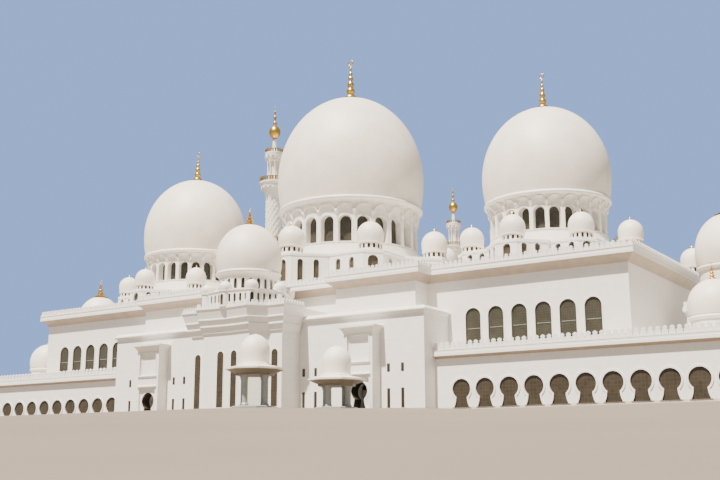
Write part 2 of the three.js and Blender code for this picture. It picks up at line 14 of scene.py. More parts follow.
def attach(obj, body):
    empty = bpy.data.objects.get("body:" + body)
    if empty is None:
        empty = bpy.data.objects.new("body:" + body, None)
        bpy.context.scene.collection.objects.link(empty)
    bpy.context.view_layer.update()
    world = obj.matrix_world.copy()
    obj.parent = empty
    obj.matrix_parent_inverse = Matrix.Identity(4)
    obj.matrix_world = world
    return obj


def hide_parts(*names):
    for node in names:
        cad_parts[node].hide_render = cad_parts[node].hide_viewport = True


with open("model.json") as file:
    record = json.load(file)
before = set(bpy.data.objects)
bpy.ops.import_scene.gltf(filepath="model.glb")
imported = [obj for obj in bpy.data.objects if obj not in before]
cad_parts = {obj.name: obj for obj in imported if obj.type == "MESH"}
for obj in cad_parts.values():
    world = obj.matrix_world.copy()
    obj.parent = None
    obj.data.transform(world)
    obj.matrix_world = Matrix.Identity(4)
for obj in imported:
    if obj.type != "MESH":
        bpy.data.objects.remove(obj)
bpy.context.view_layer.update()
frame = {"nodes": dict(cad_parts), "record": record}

# %% [markdown]
# The real building is measured in metres, with x along the front and y going back from the front
# wall. The model's own origin is the middle of its footprint, so y is shifted before it is scaled.
# ROW is the line on which the great domes stand, and ROOF is the hall's roof. In each dome's sizes,
# ring, top and tip are heights: of the ring below it, of the dome and of its finial. The others are
# half widths and heights of its drum, of its square base and of the turrets on that.

# %% Real sizes and the model's scale
TENTH = 0.1
SHIFT = 93.725
ROW = 28.47
ROOF = 23.86
SIDES = (("left", -1), ("right", 1))

MAIN = dict(x=0, y=ROW, radius=16.1, ring=45.2, top=71.2, tip=81, drum=14.5, base=32.5, half=18.2,
            corner=2.9, bay=2, leg=5.3, reach=23.7, arch=1.05, window=0.56, sill=27, pier=(9.5, 12.7),
            turret=2.7, diagonal=15, axis=21, turret_ring=33.8, lintel=1.7, drum_sill=35.65, spring=39.8,
            finial=16.1 / 12)
SIDE = dict(x=46.26, y=ROW, radius=12.4, ring=40.25, top=59.65, tip=67.3, drum=11, base=30.4, half=13.6,
            corner=2.3, bay=1.9, leg=4.1, reach=18.75, arch=0.9, window=0.52, sill=26.6, pier=(7.5, 10),
            turret=2.3, diagonal=10.9, axis=16.1, turret_ring=31.3, lintel=1.15, drum_sill=33.1, spring=36.3,
            finial=12.4 / 12)
CENTRE = dict(x=0, y=-5.6, radius=6.25, ring=26.3, top=35.8, tip=39.15, drum=5.5, finial=0.95)
END = dict(x=79.4, y=ROW, radius=5.6, ring=24.4, top=33.75, tip=38.2, drum=5.1, foot=17, spring=20.6,
           finial=1.1)
PORCH = dict(x=80.1, y=13.5, radius=4.15, ring=14.0, top=19.9, tip=22.7, drum=3.75, foot=9, spring=11.5,
             finial=0.55)
LARGE = [("main", MAIN), ("left", dict(SIDE, x=-SIDE["x"])), ("right", SIDE)]


def place_of(x, y):
    """The matrix that brings a piece from its own axis at real size to its place in the model."""
    return Matrix.Translation((x * TENTH, (y - SHIFT) * TENTH, 0)) @ Matrix.Scale(TENTH, 4)


def at(dome):
    return place_of(dome["x"], dome["y"])


HERE = place_of(0, 0)

# %% [markdown]
# An operator works on whatever is selected, and the frame's own parts are selected after loading.
# So every step first lets go of everything, then takes the pieces that it is about. Corners that
# stand closer together than WELD grow together when a piece is closed up.

# %% Hands: letting go, taking, closing up
WELD = 0.004


def let_go():
    if bpy.context.mode != "OBJECT":
        bpy.ops.object.mode_set(mode="OBJECT")
    bpy.ops.object.select_all(action="DESELECT")


def take(*pieces):
    let_go()
    for piece in pieces:
        piece.select_set(True)
    bpy.context.view_layer.objects.active = pieces[0]


def open_all(piece):
    take(piece)
    bpy.ops.object.mode_set(mode="EDIT")
    bpy.ops.mesh.select_all(action="SELECT")


def close_up(piece):
    """Welds the seams and poles, then turns every face outwards."""
    open_all(piece)
    bpy.ops.mesh.remove_doubles(threshold=WELD)
    bpy.ops.mesh.normals_make_consistent(inside=False)
    bpy.ops.object.mode_set(mode="OBJECT")
    return piece


def moved(piece, matrix):
    """Turns and moves a piece, and writes the move into its mesh."""
    take(piece)
    piece.matrix_world = matrix @ piece.matrix_world
    bpy.ops.object.transform_apply(location=True, rotation=True, scale=True)
    return piece


def copies(piece, matrices):
    """One copy of the piece at each matrix, all joined to one mesh. The pattern piece is used up."""
    made = []
    for matrix in matrices:
        copy = bpy.data.objects.new(piece.name, piece.data.copy())
        bpy.context.scene.collection.objects.link(copy)
        copy.data.transform(matrix)
        made.append(copy)
    bpy.data.objects.remove(piece)
    return joined(*made)


def joined(*pieces):
    take(*pieces)
    if len(pieces) > 1:
        bpy.ops.object.join()
    return pieces[0]


def round_about(count, start=0.0):
    return [Matrix.Rotation(start + 2 * math.pi * i / count, 4, "Z") for i in range(count)]


# %% [markdown]
# Domes, drums, towers and finials are all round, as if turned on a lathe. A circle is added at the
# first point of the outline, and for each next point it is extruded upwards and scaled in or out.
# This is quicker than spinning an edge, and the number of sides is chosen freely. A circle can't grow
# again from nothing, so a point on the axis gets the tiny radius AXIS and is welded afterwards.
# Walls, slabs, ribs and bands are lofts: one circle is extruded once for each layer, and then its
# corners are put on the layers' outlines, as a mould is built up.

# %% Turned pieces, lofts and blocks
AXIS = 0.001


def turned(name, profile, sides=48):
    let_go()
    radius, height = profile[0]
    bpy.ops.mesh.primitive_circle_add(vertices=sides, radius=max(radius, AXIS), location=(0, 0, height))
    piece = bpy.context.object
    piece.name = name
    open_all(piece)
    for (r0, z0), (r1, z1) in zip(profile, profile[1:]):
        grow = max(r1, AXIS) / max(r0, AXIS)
        bpy.ops.mesh.extrude_region_move(TRANSFORM_OT_translate={"value": (0, 0, z1 - z0)})
        bpy.ops.transform.resize(value=(grow, grow, 1), center_override=(0, 0, 0))
    let_go()
    moved(piece, Matrix.Identity(4))
    return close_up(piece)


def loft(name, layers, ends=True):
    """A circle is extruded once for each layer, then every corner is put on its layer's outline."""
    let_go()
    count = len(layers[0])
    bpy.ops.mesh.primitive_circle_add(vertices=count, radius=1, fill_type="NGON" if ends else "NOTHING")
    piece = bpy.context.object
    piece.name = name
    open_all(piece)
    for _ in layers[1:]:
        bpy.ops.mesh.extrude_region_move(TRANSFORM_OT_translate={"value": (0, 0, 1)})
    let_go()
    for corner in piece.data.vertices:
        x, y, z = corner.co
        number = round(math.atan2(-x, y) / (2 * math.pi) * count) % count
        corner.co = layers[round(z)][number]
    return close_up(piece)


def block(name, outline, z0, z1):
    """An upright block over any outline seen from above."""
    return loft(name, [[(x, y, z) for x, y in outline] for z in (z0, z1)])


def brick(name, x0, x1, y0, y1, z0, z1):
    return block(name, [(x0, y0), (x1, y0), (x1, y1), (x0, y1)], z0, z1)


def standing(name, outline, back, front):
    """A flat shape drawn face on, as (along, height), that faces -Y and reaches from back to front."""
    return moved(block(name, outline, back, front), Matrix.Rotation(math.pi / 2, 4, "X"))


def surround(name, inner, outer, back, front):
    """A flat band between two outlines, face on, as round a window."""
    rings = ((outer, back), (outer, front), (inner, front), (inner, back), (outer, back))
    band = loft(name, [[(x, z, depth) for x, z in shape] for shape, depth in rings], ends=False)
    return moved(band, Matrix.Rotation(math.pi / 2, 4, "X"))


# %% [markdown]
# Cornices, eaves and string courses keep one section along a wall and turn its corners with a mitre.
# On the building each length is cut from stone. Here the path is moved outwards by each step of the
# section, with its corners mitred, and the moved paths become the layers of one loft.

# %% Mouldings along a path
def sideways(path, out, closed):
    """The path moved to its right by out. A path that runs anticlockwise moves outwards."""
    count = len(path)
    normals = []
    for (x0, y0), (x1, y1) in zip(path, path[1:] + path[:1]):
        length = math.hypot(x1 - x0, y1 - y0)
        normals.append(((y1 - y0) / length, (x0 - x1) / length))
    points = []
    for i, (x, y) in enumerate(path):
        (ax, ay), (bx, by) = normals[i - 1], normals[i]
        if not closed and i == 0:
            ax, ay = bx, by
        if not closed and i == count - 1:
            bx, by = ax, ay
        grow = out / (1 + ax * bx + ay * by)
        points.append((x + (ax + bx) * grow, y + (ay + by) * grow))
    return points


def moulding(name, path, section, closed=False):
    rings = [[(x, y, z) for x, y in sideways(path, out, closed)] for out, z in section]
    layers = [list(corner) for corner in zip(*rings)]
    return loft(name, layers + layers[:1] if closed else layers, ends=not closed)


def mirror(path):
    return [(-x, y) for x, y in reversed(path)]


# %% [markdown]
# Windows, merlons and posts are made once and copied to their places. A place is a matrix that turns
# the pattern piece to face outwards. Openings are real holes, cut out by a solid of their shape.

# %% Places in rows, holes and eased edges
EASED_ANGLE = 40


def spot(x, y, turn=0.0, z=0.0):
    return Matrix.Translation((x, y, z)) @ Matrix.Rotation(turn, 4, "Z")


def row_along(path, pitch, closed=False):
    """Places at an even pitch along a path, each turned to face outwards."""
    places = []
    for (x0, y0), (x1, y1) in zip(path, path[1:] + (path[:1] if closed else [])):
        length = math.hypot(x1 - x0, y1 - y0)
        count = max(round(length / pitch), 1)
        turn = math.atan2(y1 - y0, x1 - x0)
        for i in range(count):
            t = (i + 0.5) / count
            places.append(spot(x0 + (x1 - x0) * t, y0 + (y1 - y0) * t, turn))
    return places


def around(piece, radius, count, start=0.0):
    """Copies of a piece that faces forwards, all round the axis at the given radius."""
    return copies(moved(piece, spot(0, -radius)), round_about(count, start))


def applied(piece, modifier):
    take(piece)
    bpy.ops.object.modifier_apply(modifier=modifier.name)
    return piece


def cut_out(piece, cutter):
    opening = piece.modifiers.new("openings", "BOOLEAN")
    opening.operation = "DIFFERENCE"
    opening.solver = "EXACT"
    opening.object = cutter
    applied(piece, opening)
    bpy.data.objects.remove(cutter)
    return piece


def eased(piece, width):
    """A small bevel that takes the hard edges off, as a mason does."""
    bevel = piece.modifiers.new("eased edge", "BEVEL")
    bevel.width = width
    bevel.segments = 1
    bevel.limit_method = "ANGLE"
    bevel.angle_limit = math.radians(EASED_ANGLE)
    return applied(piece, bevel)


def well(radius, z0, z1, sides):
    """A round shaft that is cut through a roof, so that a dome is open from below."""
    return turned("well", [(0, z0), (radius, z0), (radius, z1), (0, z1)], sides)


def pane(half, near, far, low, high):
    """A sheet of glass that reaches from near to far behind the face of the wall."""
    return brick("pane", -half, half, near, far, low, high)


# %% [markdown]
# Each finished piece is brought to its place, shaded smooth where it is round, given its finish, and
# tied to the building, which is one fixed body. Where it stands for a CAD part, that part is hidden.

# %% Finishing a piece
MADE = []


def finished(piece, name, finish, place=HERE, nodes=(), smooth=35):
    moved(piece, place)
    take(piece)
    if smooth:
        bpy.ops.object.shade_smooth_by_angle(angle=math.radians(smooth))
    piece.name = name
    piece.data.name = name
    piece.data.materials.clear()
    piece.data.materials.append(finish)
    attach(piece, "root")
    if nodes:
        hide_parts(*nodes)
    MADE.append(piece)
    print(name, len(piece.data.polygons), "faces")


# %% [markdown]
# Colours are picked as the hex values of a screen, which are brighter in the middle than light is.
# One function turns them to the linear values that a shader works in.

# %% Colours and nodes
def linear(hex_value):
    parts = [int(hex_value[i:i + 2], 16) / 255 for i in (1, 3, 5)]
    return tuple(p / 12.92 if p <= 0.04045 else ((p + 0.055) / 1.055) ** 2.4 for p in parts) + (1.0,)


def new_finish(name, roughness, metallic=0.0):
    finish = bpy.data.materials.new(name)
    finish.use_nodes = True
    shader = finish.node_tree.nodes["Principled BSDF"]
    shader.inputs["Roughness"].default_value = roughness
    shader.inputs["Metallic"].default_value = metallic
    return finish, shader


def add_node(finish, kind, settings=None, links=None, values=None):
    """Adds a node, sets its properties and input values, and links its inputs from other sockets."""
    node = finish.node_tree.nodes.new(kind)
    for key, value in (settings or {}).items():
        setattr(node, key, value)
    for key, value in (values or {}).items():
        node.inputs[key].default_value = value
    for key, socket in (links or {}).items():
        finish.node_tree.links.new(socket, node.inputs[key])
    return node


def link(finish, output, input_socket):
    finish.node_tree.links.new(output, input_socket)


# %% [markdown]
# The patterns are worked out from each piece's own coordinates, in real metres, so no seams show. A
# wall runs in any direction, so its pattern's sideways coordinate is taken along the wall: it is the
# dot product of the place with the wall's own direction, which comes from its normal.

# %% Shared steps of the finishes
def in_metres(finish):
    place = add_node(finish, "ShaderNodeTexCoord")
    metres = add_node(finish, "ShaderNodeVectorMath", {"operation": "SCALE"},
                      {0: place.outputs["Object"]}, {"Scale": 1 / TENTH})
    return metres.outputs["Vector"]


def along_wall(finish, metres):
    """The place as (distance along the wall, height, 0)."""
    normal = add_node(finish, "ShaderNodeNewGeometry")
    across = add_node(finish, "ShaderNodeVectorMath", {"operation": "CROSS_PRODUCT"},
                      {0: normal.outputs["True Normal"]}, {1: (0, 0, 1)})
    run = add_node(finish, "ShaderNodeVectorMath", {"operation": "DOT_PRODUCT"},
                   {0: metres, 1: across.outputs["Vector"]})
    split = add_node(finish, "ShaderNodeSeparateXYZ", links={0: metres})
    flat = add_node(finish, "ShaderNodeCombineXYZ",
                    links={"X": run.outputs["Value"], "Y": split.outputs["Z"]})
    return flat.outputs["Vector"]


def noise(finish, metres, scale, detail, **more):
    """Soft random clouds, scale of them to a metre."""
    clouds = add_node(finish, "ShaderNodeTexNoise", links={"Vector": metres},
                      values={"Scale": scale, "Detail": detail, **more})
    return clouds.outputs["Fac"]


def two_tones(finish, amount, first, second, low=0.0, high=1.0):
    """The first colour up to the amount low, the second from high on, and a blend between them."""
    tone = add_node(finish, "ShaderNodeValToRGB", links={"Fac": amount})
    for element, position, colour in zip(tone.color_ramp.elements, (low, high), (first, second)):
        element.position = position
        element.color = linear(colour)
    return tone.outputs["Color"]


def raised(finish, shader, height, strength, distance):
    relief = add_node(finish, "ShaderNodeBump", links={"Height": height},
                      values={"Strength": strength, "Distance": distance})
    link(finish, relief.outputs["Normal"], shader.inputs["Normal"])


# %% [markdown]
# Honed marble cladding: large pale slabs with a fine veil of grey in them, set with thin joints. The
# paving is the same marble in square slabs, a little darker and more polished.

# %% Honed marble slabs
SLAB_WIDTH = 2.4
SLAB_HEIGHT = 1.2
JOINT = 0.02
VEIN = 1.1


def marble_slabs(name, pale, grey, joint, slab_width=SLAB_WIDTH, roughness=0.42):
    finish, shader = new_finish(name, roughness)
    metres = in_metres(finish)
    veil = noise(finish, metres, 1 / VEIN, 5.0, Roughness=0.6, Distortion=0.8)
    tone = two_tones(finish, veil, grey, pale, 0.3, 0.62)
    courses = add_node(finish, "ShaderNodeTexBrick", {"offset": 0.5},
                       {"Vector": along_wall(finish, metres), "Color1": tone, "Color2": tone},
                       {"Mortar": linear(joint), "Scale": 1.0, "Mortar Size": JOINT, "Mortar Smooth": 0.3,
                        "Brick Width": slab_width, "Row Height": SLAB_HEIGHT})
    link(finish, courses.outputs["Color"], shader.inputs["Base Color"])
    fine = noise(finish, metres, 9.0, 3.0)
    groove = add_node(finish, "ShaderNodeMath", {"operation": "SUBTRACT"},
                      {0: fine, 1: courses.outputs["Fac"]})
    raised(finish, shader, groove.outputs["Value"], 0.12, 0.003)
    return finish


WALL_MARBLE = marble_slabs("honed_marble_cladding", "#F0EEEA", "#E9E7E3", "#E0DDD8")
PAVING = marble_slabs("honed_marble_paving", "#D9D3C8", "#C6BFB2", "#A9A398", SLAB_HEIGHT, 0.3)

# %% [markdown]
# The domes are clad in the same marble, but in small curved pieces that are ground smooth, so from
# afar they are one soft skin. It is a little warmer, with a faint cloud of tone and no joints. The
# undersides of the eaves are the marble darkened to a warm beige, as painted shade and painted warm
# bounce light, and those of the kiosks darkened to a dusky grey, as painted shade. Columns and
# transoms are darkened to a grey-green, as painted shade. The bronze frames have gone dark and dull,
# so they are drawn the same way, without the shine of new metal.

# %% Smooth stones and dark bronze
CLOUD = 3.5


def smooth_marble(name, pale, warm, roughness, cloud=CLOUD, grain=0.05):
    finish, shader = new_finish(name, roughness)
    metres = in_metres(finish)
    clouds = noise(finish, metres, 1 / cloud, 6.0, Roughness=0.55)
    link(finish, two_tones(finish, clouds, warm, pale, 0.3, 0.68), shader.inputs["Base Color"])
    raised(finish, shader, noise(finish, metres, 6.0, 4.0), grain, 0.004)
    return finish


DOME_MARBLE = smooth_marble("smooth_dome_marble", "#F1EBE1", "#E6DED2", 0.5)
CARVED_MARBLE = smooth_marble("carved_white_marble", "#F2EFE9", "#E6E2DA", 0.45, cloud=0.8)
# Painted shade: the eaves' undersides are the marble darkened to a warm beige, with painted warm bounce
# light.
PAINTED_SHADE_SOFFIT_STONE = smooth_marble("beige_painted_shade_soffit_stone", "#B1A191", "#A49484", 0.6, cloud=1.5)
# Painted shade: the kiosks' beam and eave underside are darkened to a dusky grey.
PAINTED_SHADE_CANOPY_STONE = smooth_marble("dark_grey_painted_shade_stone", "#7C766A", "#6F695E", 0.6, cloud=1.0)
# Painted shade: columns and transoms are darkened to grey-green where they stand in shade.
PAINTED_SHADE_MARBLE = smooth_marble("grey_green_painted_shade_marble", "#9AA09D", "#8A908D", 0.35, cloud=0.5)
BRONZE = smooth_marble("dark_bronze_frame", "#4A4438", "#3E392F", 0.4, cloud=0.6)

# %% [markdown]
# The finials are covered with gold glass mosaic: tiny tiles of glass over gold leaf. They are too
# fine to see one by one, so their joints are drawn as small bumps that break up the shine. The
# windows are bronze-tinted float glass with a fine lattice, of a dull grey-brown. It is browner in
# the bases, the small drums and the doors. The darkest glass, in the turrets, the slits, the gallery
# and the drum over the apse, is painted shade of the dark rooms behind it.

# %% Gold mosaic and glass
TILE = 0.12
LATTICE = 0.42


def gold_mosaic(name, gold, joint):
    finish, shader = new_finish(name, 0.32, 1.0)
    tiles = add_node(finish, "ShaderNodeTexVoronoi", links={"Vector": in_metres(finish)},
                     values={"Scale": 1 / TILE})
    edges = tiles.outputs["Distance"]
    link(finish, two_tones(finish, edges, gold, joint), shader.inputs["Base Color"])
    raised(finish, shader, edges, 0.25, 0.002)
    return finish


def tinted_glass(name, light, dark, bars, lattice=LATTICE):
    finish, shader = new_finish(name, 0.22)
    metres = in_metres(finish)
    screen = add_node(finish, "ShaderNodeTexBrick", {"offset": 0.0}, {"Vector": along_wall(finish, metres)},
                      {"Color1": linear(light), "Color2": linear(dark), "Mortar": linear(bars),
                       "Scale": 1.0, "Mortar Size": 0.03, "Brick Width": lattice, "Row Height": lattice})
    tone = add_node(finish, "ShaderNodeMix", {"data_type": "RGBA", "blend_type": "MULTIPLY"},
                    {"Factor": noise(finish, metres, 0.5, 2.0), "A": screen.outputs["Color"]},
                    {"B": linear("#C9C4BA")})
    link(finish, tone.outputs["Result"], shader.inputs["Base Color"])
    return finish


GOLD = gold_mosaic("gold_leaf_mosaic", "#F0CA66", "#C89C40")
GLASS = tinted_glass("tinted_window_glass", "#47453C", "#403E35", "#4F4D41")
DARK_GLASS = tinted_glass("dark_drum_glass", "#574D3F", "#4B4237", "#645948", 0.3)
BROWN_GLASS = tinted_glass("bronze_door_glass", "#484136", "#3F392F", "#504839", 0.6)
# Painted shade: nearly black glass that stands in for the shade of the rooms behind.
PAINTED_SHADE_GLASS = tinted_glass("dark_painted_shade_glass", "#3D362B", "#332D24", "#4A4236", 0.3)

# %% [markdown]
# The CAD walls already have the right shape, so they stay and only get their stone. Every node gets
# the first finish of its record slot here, and the pieces below hide those that they stand for.

# %% Slots, and stone on the CAD nodes
SLOTS = {"white_marble": (WALL_MARBLE, CARVED_MARBLE, PAINTED_SHADE_SOFFIT_STONE, PAINTED_SHADE_CANOPY_STONE, PAINTED_SHADE_MARBLE),
         "dome_stone": (DOME_MARBLE,), "floor_stone": (PAVING,), "gold_mosaic": (GOLD,),
         "tinted_glass": (GLASS, DARK_GLASS, BROWN_GLASS, PAINTED_SHADE_GLASS, BRONZE)}
for subpart in frame["record"]["subparts"]:
    node = frame["nodes"][subpart["node"]]
    node.data.materials.clear()
    node.data.materials.append(SLOTS[subpart["material_slot"]][0])

# %% [markdown]
# A large dome swells a little above its foot and closes as half an ellipse. Its foot is 0.953 of its
# widest radius, and it is widest a quarter of the way up. A second, smaller outline makes it a shell.

# %% Onion domes
DOME_SKIN = 0.6
FOOT_ANGLE = math.acos(0.953)
SWELL = 0.26
SWELL_ROWS = 5


def dome_outline(dome, shrink, rows):
    bulge = dome["ring"] + SWELL * (dome["top"] - dome["ring"])
    radius = dome["radius"] - shrink
    points = []
    for i in range(SWELL_ROWS):
        a = -FOOT_ANGLE * (1 - i / SWELL_ROWS)
        points.append((radius * math.cos(a), bulge + (bulge - dome["ring"]) * a / FOOT_ANGLE))
    for i in range(rows):
        a = math.pi / 2 * i / rows
        points.append((radius * math.cos(a), bulge + (dome["top"] - shrink - bulge) * math.sin(a)))
    points.append((0, dome["top"] - shrink))
    return points


def dome_shell(dome, skin=DOME_SKIN, rows=22, sides=96):
    inner, outer = dome_outline(dome, skin, rows), dome_outline(dome, 0, rows)
    return turned("shell", inner[::-1] + outer, sides)


for label, dome in LARGE:
    finished(dome_shell(dome), f"{label}_dome_marble", DOME_MARBLE, at(dome), [f"{label}_dome"], smooth=40)
finished(dome_shell(CENTRE, sides=64), "centre_dome_marble", DOME_MARBLE, at(CENTRE), ["centre_dome"],
         smooth=40)

# %% [markdown]
# The drum under a dome is a round wall with 24 round-headed windows. Its foot spreads into a sloped
# apron that sheds the rain, and its upper part flares out to a bright moulded ring that carries the
# dome. The holes have splayed sides, wider at the outside, so the cutter's inner face is scaled down.
# RIM is how wide the ring is, as a share of the dome, and WINDOW_SHARE is half a window's width.

# %% Drums with splayed windows
DRUM_WALL = 1.5
DRUM_WINDOWS = 24
REVEAL = 1.3
RIM = 0.985
WINDOW_SHARE = 0.08
HOLE = 1.12
APRON = 1.3


def round_head(half_width, sill, spring, steps=12):
    arch = [(half_width * math.cos(math.pi * i / steps), spring + half_width * math.sin(math.pi * i / steps))
            for i in range(steps + 1)]
    return [(-half_width, sill), (half_width, sill)] + arch


def flare(r0, z0, r1, z1, steps=8):
    """A hollow curve that leaves the wall upright and ends nearly level."""
    turn = math.pi / 2 * 0.86
    rise, run = math.sin(turn), 1 - math.cos(turn)
    return [(r0 + (r1 - r0) * (1 - math.cos(turn * i / steps)) / run,
             z0 + (z1 - z0) * math.sin(turn * i / steps) / rise) for i in range(steps + 1)]


def ring_moulding(radius, z0, z1, steps=8):
    """A half-round that stands out from the wall, as (radius, height)."""
    depth, middle = (z1 - z0) / 2, (z0 + z1) / 2
    return [(radius + depth * math.sin(math.pi * i / steps), middle - depth * math.cos(math.pi * i / steps))
            for i in range(steps + 1)]


def drum_outline(dome, foot, wall=DRUM_WALL, apron=0.0):
    r = dome["drum"]
    rim = dome["radius"] * RIM
    skirt = [(r + apron, foot), (r + apron, foot + 0.3), (r + 0.3, dome["drum_sill"] - 0.75),
             (r + 0.3, dome["drum_sill"] - 0.5), (r, dome["drum_sill"] - 0.4)] if apron else [(r, foot)]
    curve = flare(r, dome["spring"] + 1.9, rim - 0.5, dome["ring"] - 0.85)
    bead = ring_moulding(rim - 0.42, dome["ring"] - 0.8, dome["ring"])
    return [(r - wall, foot)] + skirt + curve + bead + [(r - wall, dome["ring"]), (r - wall, foot)]


def splayed_cutter(half_width, sill, spring, wall, splay=0.75):
    piece = standing("cutter", round_head(half_width, sill, spring), -wall - 0.6, 0.6)
    for corner in piece.data.vertices:
        if corner.co.y > 0:
            corner.co.x *= splay
    return piece


def glass_ring(radius, z0, z1, sides=96):
    inner = radius - 0.1
    return turned("glass", [(inner, z0), (radius, z0), (radius, z1), (inner, z1), (inner, z0)], sides)


for label, dome in LARGE:
    half = dome["radius"] * WINDOW_SHARE
    drum = turned("drum", drum_outline(dome, dome["base"] - 0.55, apron=APRON), 144)
    cutter = splayed_cutter(half * HOLE, dome["drum_sill"], dome["spring"], DRUM_WALL)
    cut_out(drum, around(cutter, dome["drum"], DRUM_WINDOWS))
    finished(drum, f"{label}_drum_marble", CARVED_MARBLE, at(dome), [f"{label}_drum"])
    finished(glass_ring(dome["drum"] - REVEAL, dome["drum_sill"] - 0.2, dome["spring"] + half + 0.3, 144),
             f"{label}_drum_glass", GLASS, at(dome))

# %% [markdown]
# Round each drum window runs a flat raised band. Between the windows a slim pilaster carries a small
# corbel, and from corbel to corbel springs a blind arch that lies in the hollow of the flare. Each is
# made once at the front of the drum and copied round it.

# %% Drum ornament
BAND = 0.24


def blind_arch(half_span, rise, width, depth, steps=14):
    """A thin arch of square section, face on, open at its foot."""
    layers = []
    for i in range(steps + 1):
        cos, sin = math.cos(math.pi * i / steps), math.sin(math.pi * i / steps)
        ox, oz, ix, iz = half_span * cos, rise * sin, (half_span - width) * cos, (rise - width) * sin
        layers.append([(ox, 0, oz), (ox, -depth, oz), (ix, -depth, iz), (ix, 0, iz)])
    return loft("blind_arch", layers)


def drum_ornament(dome):
    half, r = dome["radius"] * WINDOW_SHARE * HOLE, dome["drum"]
    sill, spring = dome["drum_sill"], dome["spring"]
    top = spring + half + 0.35
    gap = math.pi / DRUM_WINDOWS
    pitch = 2 * math.pi * r / DRUM_WINDOWS
    band = surround("band", round_head(half, sill, spring), round_head(half + BAND, sill - 0.15, spring),
                    -0.2, 0.1)
    pilaster = brick("pilaster", -0.24, 0.24, -0.14, 0.3, sill - 0.3, top)
    corbel = turned("corbel", [(0, top - 0.3), (0.16, top - 0.2), (0.42, top + 0.3), (0.46, top + 0.55),
                               (0.3, top + 0.8), (0, top + 0.85)], 12)
    arch = blind_arch(pitch * 0.47, pitch * 0.42, 0.17, 0.22)
    lean = math.atan2(dome["radius"] * RIM - 0.5 - r, dome["ring"] - spring - 2.75)
    moved(arch, spot(0, -r - 0.1, 0, top + 0.5) @ Matrix.Rotation(lean * 0.8, 4, "X"))
    return joined(around(band, r, DRUM_WINDOWS), around(pilaster, r, DRUM_WINDOWS, gap),
                  around(corbel, r + 0.1, DRUM_WINDOWS, gap), copies(arch, round_about(DRUM_WINDOWS)))


for label, dome in LARGE:
    finished(drum_ornament(dome), f"{label}_drum_ornament", CARVED_MARBLE, at(dome))

# %% [markdown]
# Each large dome stands on a square base with cut corners and a three-sided bay on every side. The
# base is a real room: its walls are made from the outer outline less a smaller one, and its arches
# and tall windows are cut through.

# %% Dome bases
BASE_WALL = 0.9
COPING_DROP = 0.5
QUARTERS = ((1, 0), (0, 1), (-1, 0), (0, -1))


def base_outline(dome, inset):
    shift = inset * math.tan(math.pi / 8)
    half, reach = dome["half"] - inset, dome["reach"] - inset
    cut = dome["half"] - dome["corner"] - shift
    face, knee = dome["bay"] - shift, dome["bay"] + dome["leg"] - inset
    root = dome["reach"] - dome["leg"] - shift
    quarter = [(face, -reach), (knee, -root), (knee, -half), (cut, -half),
               (half, -cut), (half, -knee), (root, -knee), (reach, -face)]
    return [(x * cos - y * sin, x * sin + y * cos) for cos, sin in QUARTERS for x, y in quarter]


def base_places(dome):
    """The kind of each opening in one side of the base, then its place along and out, and its tilt."""
    corner = dome["half"] - dome["corner"] / 2
    bay, leg, reach = dome["bay"], dome["leg"], dome["reach"]
    places = [("bay", 0, reach, 0), ("arch", corner, corner, math.pi / 4)]
    for s in (1, -1):
        for q in (0.24, 0.67):
            places.append(("tall", s * (bay + leg * q), reach - leg * q, s * math.pi / 4))
        for x in dome["pier"]:
            places.append(("low", s * x, dome["half"], 0))
    return places


def base_shape(dome, kind, grow=0.0):
    top = dome["base"] - dome["lintel"]
    if kind == "arch":
        half = dome["arch"] + grow
        return round_head(half, dome["sill"] + 1.4 - grow, top + 0.2 - dome["arch"], 12)
    sill = top - 2.3 if kind == "low" else dome["sill"] - 0.6
    half = dome["window"] * (1.4 if kind == "bay" else 1)
    return round_head(half + grow, sill - grow, top - half, 8)


def base_cutter(dome, kind):
    return standing("cutter", base_shape(dome, kind), -1.5, 0.6)


def base_band(dome, kind):
    return surround("band", base_shape(dome, kind), base_shape(dome, kind, 0.18), -0.1, 0.09)


def base_row(dome, make):
    """One piece for each opening of the base, copied to its four sides."""
    parts = [moved(make(dome, kind), spot(along, -out, tilt)) for kind, along, out, tilt in base_places(dome)]
    return copies(joined(*parts), round_about(4))


def coping_section(top):
    return [(-0.3, top - 0.6), (0, top - 0.6), (0.14, top - 0.45), (0.14, top - 0.05), (0.06, top),
            (-0.3, top + 0.02), (-0.3, top - 0.6)]


def glass_section(low, high):
    return [(0, low), (0, high), (-0.1, high), (-0.1, low), (0, low)]


for label, dome in LARGE:
    top = dome["base"] - COPING_DROP
    base = block("base", base_outline(dome, 0), ROOF, top)
    cut_out(base, block("room", base_outline(dome, BASE_WALL), ROOF - 1, top - BASE_WALL))
    cut_out(base, well(dome["drum"] - DRUM_WALL, ROOF - 1, top + 1, 96))
    cut_out(base, base_row(dome, base_cutter))
    coping = moulding("coping", base_outline(dome, 0), coping_section(top), True)
    frames = base_row(dome, base_band)
    finished(joined(base, frames, coping), f"{label}_base_walls", WALL_MARBLE, at(dome),
             [f"{label}_dome_base"], smooth=25)
    glass = moulding("glass", base_outline(dome, 0.3), glass_section(dome["sill"] - 0.4, top - 1), True)
    finished(glass, f"{label}_base_glass", DARK_GLASS, at(dome))

# %% [markdown]
# Eight small round turrets stand on each base, four on the bays and four on the corners. A ring of
# tiny windows runs under each little dome, between two thin hems. One turret is made and copied.

# %% Turrets
TURRET_WINDOWS = 14


def little_dome(radius, foot, rise, steps=10):
    """A swelling cap as (radius, height), from its foot to its point."""
    widest = foot + rise * 0.36
    low = [(radius * (0.93 + 0.07 * math.sin(math.pi / 2 * i / 3)), foot + (widest - foot) * i / 3)
           for i in range(3)]
    high = [(radius * math.cos(math.pi / 2 * i / steps),
             widest + (foot + rise - widest) * math.sin(math.pi / 2 * i / steps)) for i in range(steps)]
    return low + high + [(0, foot + rise)]


